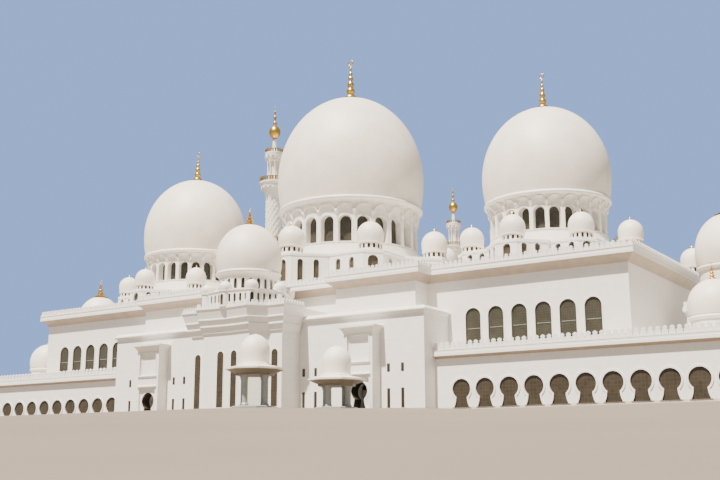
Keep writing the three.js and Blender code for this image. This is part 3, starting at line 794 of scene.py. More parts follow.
def turret(dome):
    """The body of a turret, a dark ring behind its windows as painted shade of the room, and its gold knob.
    """
    r, foot, ring = dome["turret"], dome["base"] - 0.9, dome["turret_ring"]
    body = r * 0.88
    outline = [(0, foot), (body, foot), (body, foot + 0.5), (body + 0.08, foot + 0.55),
               (body + 0.08, foot + 0.65), (body, foot + 0.7), (body, ring - 0.3), (r * 0.97, ring - 0.15),
               (r * 0.97, ring)]
    piece = turned("turret", outline + little_dome(r, ring, r * 1.6), 48)
    half = r * 0.1
    window = standing("cutter", round_head(half, ring - 1.35, ring - 0.4 - half, 6), -0.4, 0.5)
    cut_out(piece, around(window, body, TURRET_WINDOWS))
    dark = glass_ring(body - 0.12, ring - 1.45, ring - 0.3, 24)
    knob = turned("knob", [(0, ring + r * 1.55), (0.2, ring + r * 1.58), (0.1, ring + r * 1.66),
                           (0.16, ring + r * 1.74), (0.04, ring + r * 1.84), (0, ring + r * 1.9)], 10)
    return piece, dark, knob


def turret_places(dome):
    steps = [(u, v) for u in (-1, 0, 1) for v in (-1, 0, 1) if u or v]
    return [spot(u * (dome["diagonal"] if v else dome["axis"]), v * (dome["diagonal"] if u else dome["axis"]))
            for u, v in steps]


def turret_set(name, label, dome, places, place=HERE):
    body, dark, knob = turret(dome)
    finished(copies(body, places), name, DOME_MARBLE, place)
    # The dark ring is painted shade: it stands for the dim room inside each turret.
    finished(copies(dark, places), f"{label}_turret_painted_shade_glass", PAINTED_SHADE_GLASS, place)
    finished(copies(knob, places), f"{label}_turret_knobs", GOLD, place)


for label, dome in LARGE:
    turret_set(f"{label}_turrets", label, dome, turret_places(dome), at(dome))

# %% [markdown]
# One more turret of the same kind stands at each rear corner of the hall's roof. In the photo its cap
# shows above the eave, beside the small dome of the right end.

# %% Turrets at the hall's rear corners
REAR = dict(turret=2.35, base=25, turret_ring=29)
turret_set("rear_corner_turrets", "rear", REAR, [spot(-67.3, 50), spot(67.3, 50)])

# %% [markdown]
# The gold finials are stacked balls and rings on a thin mast, over a wide foot that lies on the dome.
# They are turned as one piece. A thin upright ring at the tip stands for the crescent.

# %% Finials
BEADS = ((1.9, -0.025), (1.9, -0.01), (1.15, 0.01), (0.95, 0.03), (1.02, 0.06), (1.0, 0.1), (0.8, 0.13),
         (0.48, 0.16), (0.48, 0.18), (0.68, 0.21), (0.7, 0.26), (0.5, 0.3), (0.36, 0.32), (0.36, 0.34),
         (0.54, 0.37), (0.55, 0.42), (0.38, 0.46), (0.26, 0.48), (0.26, 0.5), (0.42, 0.53), (0.42, 0.57),
         (0.18, 0.6), (0.18, 0.62), (0.3, 0.64), (0.3, 0.68), (0.1, 0.71), (0.1, 0.74), (0.19, 0.76),
         (0.19, 0.79), (0.08, 0.82), (0.07, 0.86), (0, 0.87))
SUNK = 0.15


def finial(dome):
    """Each bead is (radius, height) as a share of the finial's own width and height."""
    foot, height = dome["top"] - SUNK, dome["tip"] - dome["top"] + SUNK
    beads = [(r * dome["finial"], foot + height * t) for r, t in BEADS]
    mast = turned("mast", [(0, foot - height * 0.025)] + beads, 20)
    let_go()
    ring = height * 0.062
    bpy.ops.mesh.primitive_torus_add(major_radius=ring, minor_radius=ring * 0.2, major_segments=20,
                                     minor_segments=8, rotation=(math.pi / 2, 0, 0),
                                     location=(0, 0, foot + height - ring * 1.2))
    crescent = bpy.context.object
    moved(crescent, Matrix.Identity(4))
    return joined(mast, crescent)


for label, dome in LARGE + [("centre", CENTRE)]:
    finished(finial(dome), f"{label}_gold_finial", GOLD, at(dome), [f"{label}_finial"], smooth=50)

# %% [markdown]
# Smaller domes close the ends of the hall and stand over its side porches. Each has the outline of
# the great ones and a low drum of its own, with small windows all round it.

# %% Small domes
SMALL_WINDOWS = 16
SMALL = [(f"{label}_{kind}", dict(dome, x=side * dome["x"])) for label, side in SIDES
         for kind, dome in (("end", END), ("porch", PORCH))]

for label, dome in SMALL:
    drum = turned("drum", drum_outline(dome, dome["foot"], 0.7), 96)
    sill, half = dome["spring"] - 0.7, dome["radius"] * 0.055
    window = standing("cutter", round_head(half, sill, sill + 1.1), -0.3, 0.5)
    cut_out(drum, around(window, dome["drum"], SMALL_WINDOWS))
    shell = dome_shell(dome, 0.5, 14, 72)
    finished(joined(drum, shell), f"{label}_dome_marble", DOME_MARBLE, at(dome), [f"{label}_dome"])
    glass = glass_ring(dome["drum"] - 0.2, sill - 0.1, sill + 1.6, 48)
    finished(glass, f"{label}_drum_glass", DARK_GLASS, at(dome))
    finished(finial(dome), f"{label}_finial", GOLD, at(dome), smooth=50)

# %% [markdown]
# Merlons are the small upright stones in a row along every roof edge. Each has broad shoulders, a
# waist and a rounded head. One is drawn face on, extruded and copied along the edge.

# %% Merlons
MERLON_PITCH = 1.081
MERLON_DEPTH = 0.28
MERLON_HALF = ((0.45, 0), (0.45, 0.5), (0.38, 0.58), (0.25, 0.64), (0.24, 0.72), (0.34, 0.82), (0.34, 0.95),
               (0.2, 1.08), (0.0, 1.2))


def merlons(name, paths, z, closed=False, size=1.0, pitch=MERLON_PITCH):
    outline = [(x * size, z + h * size) for x, h in MERLON_HALF]
    outline += [(-x, h) for x, h in reversed(outline[:-1])]
    stone = standing("merlon", outline, -MERLON_DEPTH, 0)
    places = [place for path in paths for place in row_along(path, pitch, closed)]
    print(name, len(places), "merlons")
    return copies(stone, places)


# %% [markdown]
# The hall's roof ends in a deep eave. A hollow curve swings out under it, of marble darkened to a warm
# beige as painted shade, and it carries a tall white fascia of three thin steps. The eave follows the
# wall round both front blocks, so its path has twelve corners.

# %% Hall roof and eave
HALL = [(-69.5, 4.8), (-33, 4.8), (-33, 0.3), (-16, 0.3), (-16, 4.8), (16, 4.8), (16, 0.3), (33, 0.3),
        (33, 4.8), (69.5, 4.8), (69.5, 54), (-69.5, 54)]
EAVE = [(-0.3, 23.8), (1.5, 23.8), (1.5, 24.3), (1.42, 24.36), (1.42, 24.72), (1.5, 24.78), (1.5, 25.05),
        (1.1, 25.05), (1.1, 23.9), (-0.3, 23.9), (-0.3, 23.8)]
SOFFIT = [(-0.3, 22.5), (0.1, 22.55), (0.24, 22.8), (0.5, 23.15), (0.85, 23.45), (1.2, 23.65), (1.44, 23.82),
          (-0.3, 23.82), (-0.3, 22.5)]
CEILING = 22.6
EAVE_TOP = 25.05
SMALL_MERLONS = dict(size=0.8, pitch=0.9)

deck = block("deck", HALL, CEILING, ROOF)
for label, dome in LARGE:
    cut_out(deck, moved(well(dome["drum"] - DRUM_WALL, 21, 26, 64), spot(dome["x"], dome["y"])))
eave = moulding("eave", HALL, EAVE, True)
row = merlons("roof", [sideways(HALL, 1.36, True)], EAVE_TOP, True, **SMALL_MERLONS)
finished(joined(deck, eave, row), "hall_roof_marble", WALL_MARBLE, nodes=["main_roof"], smooth=25)
finished(moulding("soffit", HALL, SOFFIT, True), "hall_eave_soffit", PAINTED_SHADE_SOFFIT_STONE, smooth=30)

# %% [markdown]
# The ground storey ends in a flat terrace round the hall. Its edge is a smaller eave of the same kind,
# with an underside darkened to beige as painted shade, and with merlons on it. The terrace is one plate
# with the hall left out of its middle.

# %% Terrace
TERRACE_EDGE = [(36.9, 0), (88, 0), (88, 88), (69.4, 88)]
TERRACE_EDGES = (TERRACE_EDGE, mirror(TERRACE_EDGE))
TERRACE = [(36.9, 0), (88, 0), (88, 88), (-88, 88), (-88, 0), (-36.9, 0), (-36.9, 5.7), (-68.6, 5.7),
           (-68.6, 53.1), (68.6, 53.1), (68.6, 5.7), (36.9, 5.7)]
UNDER_LEDGE = [(-0.2, 8.5), (0.08, 8.55), (0.14, 8.72), (0.34, 8.84), (0.78, 8.98), (-0.2, 9), (-0.2, 8.5)]
LEDGE = [(-0.2, 8.96), (0.82, 8.96), (0.82, 9.45), (0.78, 9.5), (0.78, 9.8), (0.82, 9.85), (0.82, 10.1),
         (0.5, 10.1), (0.5, 9.05), (-0.2, 9.05), (-0.2, 8.96)]
STOREY_TOP = 8.4
TERRACE_TOP = 9
LEDGE_TOP = 10.1

plate = block("plate", TERRACE, STOREY_TOP, TERRACE_TOP)
ledges = [moulding("ledge", path, LEDGE) for path in TERRACE_EDGES]
row = merlons("terrace", [sideways(path, 0.75, False) for path in TERRACE_EDGES], LEDGE_TOP)
finished(joined(plate, *ledges, row), "terrace_marble", WALL_MARBLE, nodes=["terrace_roof"], smooth=25)
soffits = [moulding("soffit", path, UNDER_LEDGE) for path in TERRACE_EDGES]
finished(joined(*soffits), "terrace_soffit", PAINTED_SHADE_SOFFIT_STONE, smooth=30)

# %% [markdown]
# Keyhole arches open the ground storey: a round head that closes in to a neck, over a foot that
# spreads again. Each has a flat white ring round it. Cutters go through the wall at every bay.

# %% Arcade walls
PITCH = 4.324
FIRST_BAY = 41.8
FLOOR_TOP = 0.4
KEYHOLE = dict(radius=1.68, centre=3.37, neck=1.0, spread=0.4)
RING_WIDTH = 0.3


def keyhole(grow=0.0, steps=22):
    radius, centre, waist = KEYHOLE["radius"] + grow, KEYHOLE["centre"], KEYHOLE["neck"] + grow
    start = -math.acos(waist / radius)
    arc = [start + (math.pi - 2 * start) * i / steps for i in range(steps + 1)]
    head = [(radius * math.cos(a), centre + radius * math.sin(a)) for a in arc]
    neck = head[0][1]
    spread = [(waist + KEYHOLE["spread"] * t * t, neck + (FLOOR_TOP - neck) * t) for t in (1, 0.7, 0.4)]
    return [(-spread[0][0], spread[0][1])] + spread + head + [(-x, z) for x, z in reversed(spread[1:])]


def arch_ring(back=-0.1, front=0.13):
    return surround("ring", keyhole(), keyhole(RING_WIDTH), back, front)


ARCADE_PLAN = [(36.9, 0), (88, 0), (88, 87.1), (87.1, 87.1), (87.1, 0.9), (36.9, 0.9)]
arcade = {}
for label, side in SIDES:
    wall = block("wall", ARCADE_PLAN if side > 0 else mirror(ARCADE_PLAN), FLOOR_TOP, STOREY_TOP)
    places = [spot(side * (FIRST_BAY + PITCH * i), 0) for i in range(11)]
    places += [spot(side * 88, 9 + 2 * PITCH * i, side * math.pi / 2) for i in range(9)]
    arcade[label] = places
    cut_out(wall, copies(standing("cutter", keyhole(), -2, 1), places))
    finished(joined(wall, copies(arch_ring(), places)), f"{label}_arcade_marble", WALL_MARBLE,
             nodes=[f"{label}_arcade_wall"], smooth=30)

# %% [markdown]
# The hall's tall windows have a raised band round them, a thin edge of dark bronze and one thin
# transom, darkened to grey-green as painted shade. The glass stands close behind the face of the wall,
# so the windows look flat from the side. The same windows stand in the holes of the hall's rear wall,
# which is a CAD part.

# %% Upper walls and windows
WINDOW_SPRING = 16.05
REAR_BAYS = [FIRST_BAY + PITCH * i for i in range(6)] + [8.648, 17.296, 25.944]
UPPER_PLAN = [(33, 4.8), (69.5, 4.8), (69.5, 53.1), (68.6, 53.1), (68.6, 5.7), (33, 5.7)]
WINDOW_PANE = (1.5, 0.14, 0.22, 11.25, 17.55)
ARCADE_SHADE_SHEET = (1.75, 0.12, 0.2, FLOOR_TOP, 5.1)


def window_shape(half, sill):
    return round_head(half, sill, WINDOW_SPRING, 20)


def window_band():
    return surround("band", WINDOW, window_shape(1.66, 11.1), -0.1, 0.1)


def window_frame():
    return surround("edge", window_shape(1.36, 11.4), WINDOW, -0.16, -0.05)


def transom():
    return brick("transom", -1.2, 1.2, 0.09, 0.16, 13.9, 13.97)


WINDOW = window_shape(1.45, 11.3)
for label, side in SIDES:
    wall = block("wall", UPPER_PLAN if side > 0 else mirror(UPPER_PLAN), TERRACE_TOP, CEILING)
    front = [spot(side * (FIRST_BAY + PITCH * i), 4.8) for i in range(6)]
    rear = [spot(side * x, 54, math.pi) for x in REAR_BAYS]
    cut_out(wall, copies(standing("cutter", WINDOW, -2, 1), front))
    finished(joined(wall, copies(window_band(), front)), f"{label}_upper_marble", WALL_MARBLE,
             nodes=[f"{label}_upper_wall"], smooth=30)
    finished(copies(window_band(), rear), f"{label}_rear_bands", WALL_MARBLE, smooth=30)
    finished(copies(window_frame(), front + rear), f"{label}_window_frames", BRONZE)
    finished(copies(transom(), front + rear), f"{label}_transoms", PAINTED_SHADE_MARBLE)
    # The arcade panes are dark sheets in the open arches: painted shade of the arcade behind them.
    for name, sheet, places, glass, nodes in (
            ("window_panes", WINDOW_PANE, front, GLASS, [f"{label}_upper_glass"]),
            ("arcade_painted_shade_panes", ARCADE_SHADE_SHEET, arcade[label], BROWN_GLASS, [f"{label}_arcade_glass"]),
            ("rear_panes", WINDOW_PANE, rear, GLASS, ())):
        finished(copies(pane(*sheet), places), f"{label}_{name}", glass, nodes=nodes, smooth=0)

# %% [markdown]
# Both front blocks end in a string course whose sloped top catches the light. It is one moulding
# from the apse round the block's corner to the arcade wall.

# %% String courses of the blocks
BLOCK_FRONT = -3.6
STRING = [(-0.5, 16.3), (0, 16.3), (0.1, 16.34), (0.16, 16.55), (0.5, 16.72), (0.58, 16.78), (0.58, 16.95),
          (0.4, 17.05), (-0.1, 17.5), (-0.5, 17.55)]
BLOCK_EDGE = [(10.8, BLOCK_FRONT), (36.9, BLOCK_FRONT), (36.9, 4.8)]
for label, path in (("left", mirror(BLOCK_EDGE)), ("right", BLOCK_EDGE)):
    finished(moulding("string", path, STRING), f"{label}_string_course", WALL_MARBLE, smooth=25)

# %% [markdown]
# Narrow slits light the rooms in the blocks, a tall one and a short one in each bay. The CAD wall has
# the holes. A thin block of dark glass fills each, a few centimetres proud of the wall. Its darkness is
# painted shade: it stands for the dim rooms behind the slits.

# %% Glass of the slits
SLIT_BAYS = (11.75, 14.4, 17.6, 20.4, 29.8, 32.6)
SLIT_HEIGHTS = ((0.5, 3.8), (6.55, 8))
for label, side in SIDES:
    slits = joined(*[pane(0.3, -0.03, 0.12, low, high) for low, high in SLIT_HEIGHTS])
    finished(copies(slits, [spot(side * x, BLOCK_FRONT) for x in SLIT_BAYS]), f"{label}_slit_painted_shade_glass",
             PAINTED_SHADE_GLASS, smooth=0)

# %% [markdown]
# Each portal is a tall slab before the block: a thin lip and a sloping cornice on top, a framed panel
# below, a hood and a sill, and the keyhole doorway in its own shallow recess. The doorway is lined
# with dark bronze.

# %% Portals
PORTAL_X = 25.2
PORTAL_HALF = 2.95
PORTAL_DEPTH = 2.5
LIP = [(0, 13.3), (0.06, 13.34), (0.14, 13.6), (0.42, 13.96), (0.46, 14.1), (0.78, 14.16), (0.82, 14.22),
       (0.82, 14.5), (0, 14.5)]
SILL = [(0, 7.95), (0.1, 8.0), (0.22, 8.15), (0.26, 8.2), (0.26, 8.35), (0, 8.45)]
HOOD = [(0, 6.0), (0.22, 6.1), (0.26, 6.16), (0.26, 6.36), (0.1, 6.5), (0, 6.5)]
RECESSES = ((2.2, 8.35, 12.85, 0.4), (1.9, 8.6, 12.5, 0.5), (2.2, FLOOR_TOP, 6.1, 0.4))


def oblong(half, low, high):
    return [(-half, low), (half, low), (half, high), (-half, high)]


def round_front(half, side_depth):
    """A path along a slab's left side, its front and its right side."""
    front = -PORTAL_DEPTH
    return [(-half, front + side_depth), (-half, front), (half, front), (half, front + side_depth)]


def portal_body():
    body = brick("body", -PORTAL_HALF, PORTAL_HALF, -PORTAL_DEPTH, 0, 0, 14.3)
    for half, low, high, depth in RECESSES:
        cut_out(body, brick("cutter", -half, half, -3, depth - PORTAL_DEPTH, low, high))
    cut_out(body, standing("cutter", keyhole(), -4, 4))
    lip = moulding("lip", round_front(PORTAL_HALF, PORTAL_DEPTH), LIP)
    sill = moulding("sill", round_front(2.3, 0.1), SILL)
    hood = moulding("hood", round_front(2.3, 0.1), HOOD)
    panel = surround("panel", oblong(2.2, 8.35, 12.85), oblong(2.4, 8.2, 13.05), 2.4, 2.58)
    return joined(body, lip, sill, hood, panel, arch_ring(2.0, 2.17))


for label, side in SIDES:
    place = place_of(side * PORTAL_X, BLOCK_FRONT)
    finished(portal_body(), f"{label}_portal_marble", WALL_MARBLE, place, [f"{label}_portal"], smooth=30)
    finished(surround("lining", keyhole(-0.05), keyhole(0.02), 0.05, 2.0), f"{label}_portal_lining", BRONZE,
             place, smooth=30)

# %% [markdown]
# The apse is a folded bay under a cornice of three sloping bands with thin bright beads between
# them. A row of small merlons ends it. The room inside is left open up to the dome.

# %% Apse cornice
APSE = [(-10.8, -4), (-10.8, -8.8), (-7.8, -8.8), (-5.4, -11.5), (-2.7, -11.1), (0, -10.95),
        (2.7, -11.1), (5.4, -11.5), (7.8, -8.8), (10.8, -8.8), (10.8, -4)]
CORNICE = [(-0.9, 14.3), (0, 14.3), (0.1, 14.32), (0.12, 14.6), (0.28, 14.66), (0.3, 14.78), (0.62, 15.7),
           (0.78, 15.76), (0.78, 15.92), (0.66, 15.98), (0.98, 16.95), (1.14, 17.0), (1.14, 17.16),
           (1.02, 17.22), (1.5, 18.9), (1.6, 18.95), (1.6, 19.2), (-0.9, 19.2)]
SHOULDER = [(-10.8, 4.8), (-10.8, -4), (10.8, -4), (10.8, 4.8)]
CORNICE_TOP = 19.2
LID = 18.6

cornice = moulding("cornice", APSE, CORNICE)
body = block("body", SHOULDER, 14.6, CORNICE_TOP)
lid = block("lid", APSE, LID, CORNICE_TOP)
cut_out(body, brick("room", -9.9, 9.9, -5, 6, 14, LID))
row = merlons("apse", [sideways(APSE, 1.42, False)], CORNICE_TOP, size=0.7, pitch=0.8)
for part in (body, lid):
    cut_out(part, moved(well(CENTRE["drum"] - 0.7, 14, 25, 48), spot(0, CENTRE["y"])))
finished(joined(cornice, body, lid, row), "apse_cornice_marble", WALL_MARBLE, nodes=["apse_cornice"],
         smooth=20)

# %% [markdown]
# Above the cornice stands an eight-sided gallery of narrow slots, with a little turret on each corner.
# Its front corner stands further back than the others, and a low corbel under the wall follows it.

# %% Gallery over the apse
GALLERY = 8.2
FRONT_CORNER = 7.0
SLOT_SHAPE = round_head(0.25, 19.4, 21.3, 6)
GALLERY_WALL = [(-0.7, 19.2), (0.15, 19.2), (0.15, 19.3), (0, 19.35), (0, 21.9), (0.1, 21.95), (0.15, 22.05),
                (0.15, 22.3), (-2.75, 22.1), (-2.75, 21.7), (-0.7, 21.65), (-0.7, 19.2)]
CORBEL = ((0.9, 18.7), (1.0, 18.95), (1.03, 19.2))
PAINTED_SHADE_SHEET = [(-0.3, 19.3), (-0.25, 19.3), (-0.25, 21.7), (-0.3, 21.7), (-0.3, 19.3)]
LANTERN = [(0, 19.2), (1.0, 19.2), (1.0, 21.9), (1.15, 22.0), (1.15, 22.2)]


def between(a, b, t):
    return (a[0] + (b[0] - a[0]) * t, a[1] + (b[1] - a[1]) * t)


reaches = [GALLERY] * 6 + [FRONT_CORNER, GALLERY]
corners = [(r * math.cos(math.pi / 4 * i), r * math.sin(math.pi / 4 * i)) for i, r in enumerate(reaches)]
wall = moulding("gallery", corners, GALLERY_WALL, True)
slots = [place for a, b in zip(corners, corners[1:] + corners[:1])
         for place in row_along([between(a, b, 0.12), between(a, b, 0.88)], 1.2)]
cut_out(wall, copies(standing("cutter", SLOT_SHAPE, -1, 1), slots))
lantern = turned("turret", LANTERN + little_dome(1.22, 22.2, 1.75), 32)
opening = standing("cutter", round_head(0.36, 19.5, 21.2, 6), -0.5, 0.5)
cut_out(lantern, moved(opening, spot(0, -1.0)))
facing = [spot(x * 0.925, y * 0.925, math.atan2(y, x) + math.pi / 2) for x, y in corners]
corbel = loft("corbel", [[(x * f, y * f, z) for x, y in corners] for f, z in CORBEL])
finished(joined(wall, corbel, copies(lantern, facing)), "apse_gallery_marble", CARVED_MARBLE, at(CENTRE),
         ["apse_gallery"], smooth=30)
# A dark sheet behind the slots and dark panes in the lantern openings paint the shade of the rooms inside.
sheet = moulding("dark", corners, PAINTED_SHADE_SHEET, True)
finished(joined(sheet, copies(pane(0.4, -0.62, -0.56, 19.4, 21.6), facing)), "apse_gallery_painted_shade",
         PAINTED_SHADE_GLASS, at(CENTRE), smooth=0)

# %% [markdown]
# The dome over the apse has a low drum like the great ones, with twenty-four slim windows and a thin
# band round each.

# %% Drum over the apse
CENTRE_WINDOWS = 24
CENTRE_DRUM = ([(4.8, 21.7), (6.4, 21.7), (6.2, 22), (5.6, 22.4), (5.5, 22.5)]
               + flare(5.5, 24.8, 5.75, 25.5, 5) + ring_moulding(5.85, 25.65, 26.3)
               + [(4.8, 26.3), (4.8, 21.7)])
SLIM = round_head(0.33, 22.7, 24.3, 8)
drum = turned("drum", CENTRE_DRUM, 96)
cut_out(drum, around(standing("cutter", SLIM, -0.4, 1), CENTRE["drum"], CENTRE_WINDOWS))
band = surround("band", SLIM, round_head(0.43, 22.6, 24.3, 8), -0.1, 0.07)
finished(joined(drum, around(band, CENTRE["drum"], CENTRE_WINDOWS)), "centre_drum_marble", CARVED_MARBLE,
         at(CENTRE), ["centre_drum"])
# The drum's glass is nearly black: painted shade of the room under the dome.
finished(glass_ring(5.3, 22.5, 24.8, 96), "centre_drum_glass", PAINTED_SHADE_GLASS, at(CENTRE))

# %% [markdown]
# The middle of the apse's front folds inwards a little. A face piece of marble makes the fold, and a
# tall window stands on each half of it. One more stands on the flat wall to each side. The windows
# are bronze-tinted glass, a little proud of the wall, with a carved band round each.

# %% Apse front and its tall windows
FOLD_DEPTH = 0.15
FOLD_HALF = 2.7
FOLD_WINDOW = 1.6
FLANK_WINDOW = 9.2
TALL = round_head(0.72, 1.2, 10.6, 10)
front_face = block("face", APSE[3:8] + [(5.3, -11.1), (0, -10), (-5.3, -11.1)], 0.02, 14.4)
finished(front_face, "apse_front_marble", WALL_MARBLE, smooth=20)
fold = math.atan2(-FOLD_DEPTH, FOLD_HALF)
on_fold = -10.95 - FOLD_WINDOW * FOLD_DEPTH / FOLD_HALF
tall_places = [spot(s * FOLD_WINDOW, on_fold, s * fold) for s in (-1, 1)]
tall_places += [spot(s * FLANK_WINDOW, -8.8) for s in (-1, 1)]
frames = copies(surround("band", TALL, round_head(0.85, 1.1, 10.6, 10), -0.1, 0.08), tall_places)
finished(frames, "apse_window_bands", CARVED_MARBLE)
finished(copies(standing("glass", TALL, -0.5, 0.03), tall_places), "apse_window_glass", BROWN_GLASS, smooth=0)

# %% [markdown]
# Four slender minarets stand at the corners of the court behind the hall. Their outline is turned
# in rings from a square foot, through corbelled balconies, to an open lantern and a gold crown.

# %% Outlines of the minarets
MINARET_SPOTS = {"left_front": (-73.4, 92), "left_rear": (-73.4, 211), "right_front": (73.4, 92),
                 "right_rear": (73.4, 211)}
SHAFT = ((0, 27), (3.5, 27), (3.5, 29), (3.9, 29.6), (4.7, 31), (4.7, 32.4), (3.2, 32.4), (3.2, 54.5),
         (3.45, 55.2), (3.6, 56), (4.2, 57), (4.6, 58), (4.6, 58.5), (2.4, 58.5), (2.4, 72.5), (2.75, 74),
         (3.4, 75.6), (4.3, 77.6), (4.6, 77.9), (4.6, 78.3), (1.4, 78.3), (1.4, 85.3), (2.3, 85.5),
         (3.05, 87.6), (3.05, 88.1), (1.6, 88.3), (0.75, 89.5), (0.6, 92.8), (0, 92.8))
CROWN = ((0, 92.6), (0.7, 92.8), (0.7, 93.3), (1.25, 93.7), (1.7, 94.4), (1.85, 95.2), (1.74, 96.0),
         (1.3, 96.8), (0.7, 97.3), (0.45, 97.6), (0.62, 98), (0.62, 98.5), (0.34, 98.9), (0.3, 99.6),
         (0.5, 100), (0.5, 100.5), (0.24, 100.9), (0.2, 101.5), (0.34, 101.8), (0.34, 102.2), (0.12, 102.6),
         (0.1, 103.6), (0, 104.4))
FOOT_CORNICE = [(-0.5, 26.2), (0, 26.2), (0.1, 26.4), (0.35, 26.8), (0.35, 27.3), (0.7, 27.7), (0.7, 28.4),
                (-0.5, 28.4), (-0.5, 26.2)]
LANTERN_POST = [(0, 78.3), (0.28, 78.3), (0.28, 78.9), (0.2, 79.1), (0.2, 84.6), (0.3, 84.9), (0.36, 85.6),
                (0, 85.6)]
FOOT_HALF = 4.0
NETS = ((3.2, 32.8, 54.2, 3.6), (2.4, 59, 72.3, 2.9))
BALCONIES = ((56.4, 3.6, 4.35, 16), (75.9, 3.4, 4.3, 16), (86.2, 2.4, 2.9, 12))
RAILINGS = ((4.45, 58.5, 1.4, 32, 0.3), (4.45, 78.3, 1.4, 32, 0.3), (2.9, 88.1, 1.1, 24, 0.25))

# %% [markdown]
# Both upper shafts are wrapped in a net of raised diamonds: two sets of slanting ribs, left and right.
# Each balcony has little arches as brackets below it and a gold railing of short posts on its edge.

# %% Nets and railings
NET_RIBS = 12


def square(half):
    return [(-half, -half), (half, -half), (half, half), (-half, half)]


def net_rib(radius, z0, z1, turn, width=0.16, depth=0.14, steps=10):
    """One raised rib that climbs round the shaft by the given turn."""
    section = ((-0.1, -width), (depth, -width * 0.6), (depth, width * 0.6), (-0.1, width))
    layers = []
    for i in range(steps + 1):
        a, z = turn * i / steps, z0 + (z1 - z0) * i / steps
        cos, sin = math.cos(a), math.sin(a)
        layers.append([((radius + o) * cos - w * sin, (radius + o) * sin + w * cos, z) for o, w in section])
    return loft("rib", layers)


def net(radius, z0, z1, turn):
    ribs = [copies(net_rib(radius, z0, z1, s * turn), round_about(NET_RIBS)) for s in (1, -1)]
    return joined(*ribs)


def railing(radius, z, height, count, width):
    """A ring of short posts under a thin handrail."""
    post = brick("post", -width, width, -0.08, 0.08, z, z + height - 0.15)
    posts = around(post, radius, count)
    inner, outer, low, high = radius - 0.14, radius + 0.14, z + height - 0.2, z + height
    rail = turned("rail", [(inner, low), (outer, low), (outer, high), (inner, high), (inner, low)], 32)
    return joined(posts, rail)


def brackets(z, inner, outer, count):
    """Little arches side by side under a balcony."""
    bracket = blind_arch(outer * 3.1 / count, 1.1, 0.16, 0.2, 8)
    return copies(moved(bracket, spot(0, -(inner + outer) / 2 - 0.1, 0, z)), round_about(count))


# %% [markdown]
# All four minarets are alike. The stone is one piece and the gold another, so each keeps its finish.

# %% Minarets
for label, (x, y) in MINARET_SPOTS.items():
    shaft = turned("shaft", SHAFT, 40)
    foot = eased(block("foot", square(FOOT_HALF), 0, 27.2), 0.15)
    cornice = moulding("cornice", square(FOOT_HALF), FOOT_CORNICE, True)
    posts = around(turned("post", LANTERN_POST, 8), 2.05, 8)
    panel = surround("panel", round_head(0.75, 17, 23, 6), round_head(1.0, 16.8, 23, 6), -0.1, 0.12)
    panels = around(panel, FOOT_HALF, 4)
    nets = [net(*level) for level in NETS]
    stone = joined(shaft, foot, cornice, posts, panels, *nets, *[brackets(*level) for level in BALCONIES])
    finished(stone, f"{label}_minaret_marble", CARVED_MARBLE, place_of(x, y), [f"{label}_minaret"], smooth=30)
    gold = joined(turned("crown", CROWN, 24), *[railing(*level) for level in RAILINGS])
    finished(gold, f"{label}_minaret_gold", GOLD, place_of(x, y), smooth=50)

# %% [markdown]
# The court behind the hall has one storey with a round-arched arcade inside and the same eave and
# merlons outside. Its outer walls repeat the keyhole arch as a blind ring round a panel of dark glass.

# %% Court, outside
COURT_EDGE = [(69.4, 88.9), (69.4, 215), (-69.4, 215), (-69.4, 88.9)]
LEDGE_SHARE = 0.85
ledge = moulding("ledge", COURT_EDGE, [(out * LEDGE_SHARE, z) for out, z in LEDGE])
row = merlons("court", [sideways(COURT_EDGE, 0.66, False)], LEDGE_TOP)
blind = [spot(s * 69.4, 97 + 2 * PITCH * i, s * math.pi / 2) for s in (-1, 1) for i in range(13)]
blind += [spot(2 * PITCH * i, 215, math.pi) for i in range(-7, 8)]
rings = copies(arch_ring(), blind)
finished(joined(ledge, row, rings), "court_edge_marble", WALL_MARBLE, smooth=25)
finished(copies(standing("panel", keyhole(), -0.2, 0.04), blind), "court_blind_panels", BROWN_GLASS, smooth=0)

# %% [markdown]
# Inside the court, and in the portico at its head, the arches stand three bays of the front apart. A
# flat ring goes round each, and smaller merlons stand on the edge of the court's roof.

# %% Court, inside
COURT_PITCH = 12.972
COURT_ARCH = round_head(2.6, FLOOR_TOP, 4.4, 16)
COURT_RING = round_head(2.95, FLOOR_TOP, 4.4, 16)
INNER_EDGE = [(-60.3, 88.9), (-60.3, 205.9), (60.3, 205.9), (60.3, 88.9)]
inside = [spot(s * 61.4, 99 + COURT_PITCH * i, -s * math.pi / 2) for s in (-1, 1) for i in range(9)]
inside += [spot(COURT_PITCH * i, y, turn) for y, turn in ((206.1, 0), (88, math.pi)) for i in range(-4, 5)]
arches = copies(surround("ring", COURT_ARCH, COURT_RING, -0.1, 0.14), inside)
row = merlons("inner court", [INNER_EDGE], TERRACE_TOP, size=0.8)
finished(joined(arches, row), "court_inner_marble", WALL_MARBLE, smooth=30)

# %% [markdown]
# A square pavilion carries the small dome at each end of the hall. It has a cornice, merlons and two
# framed panels of dark glass on each face.

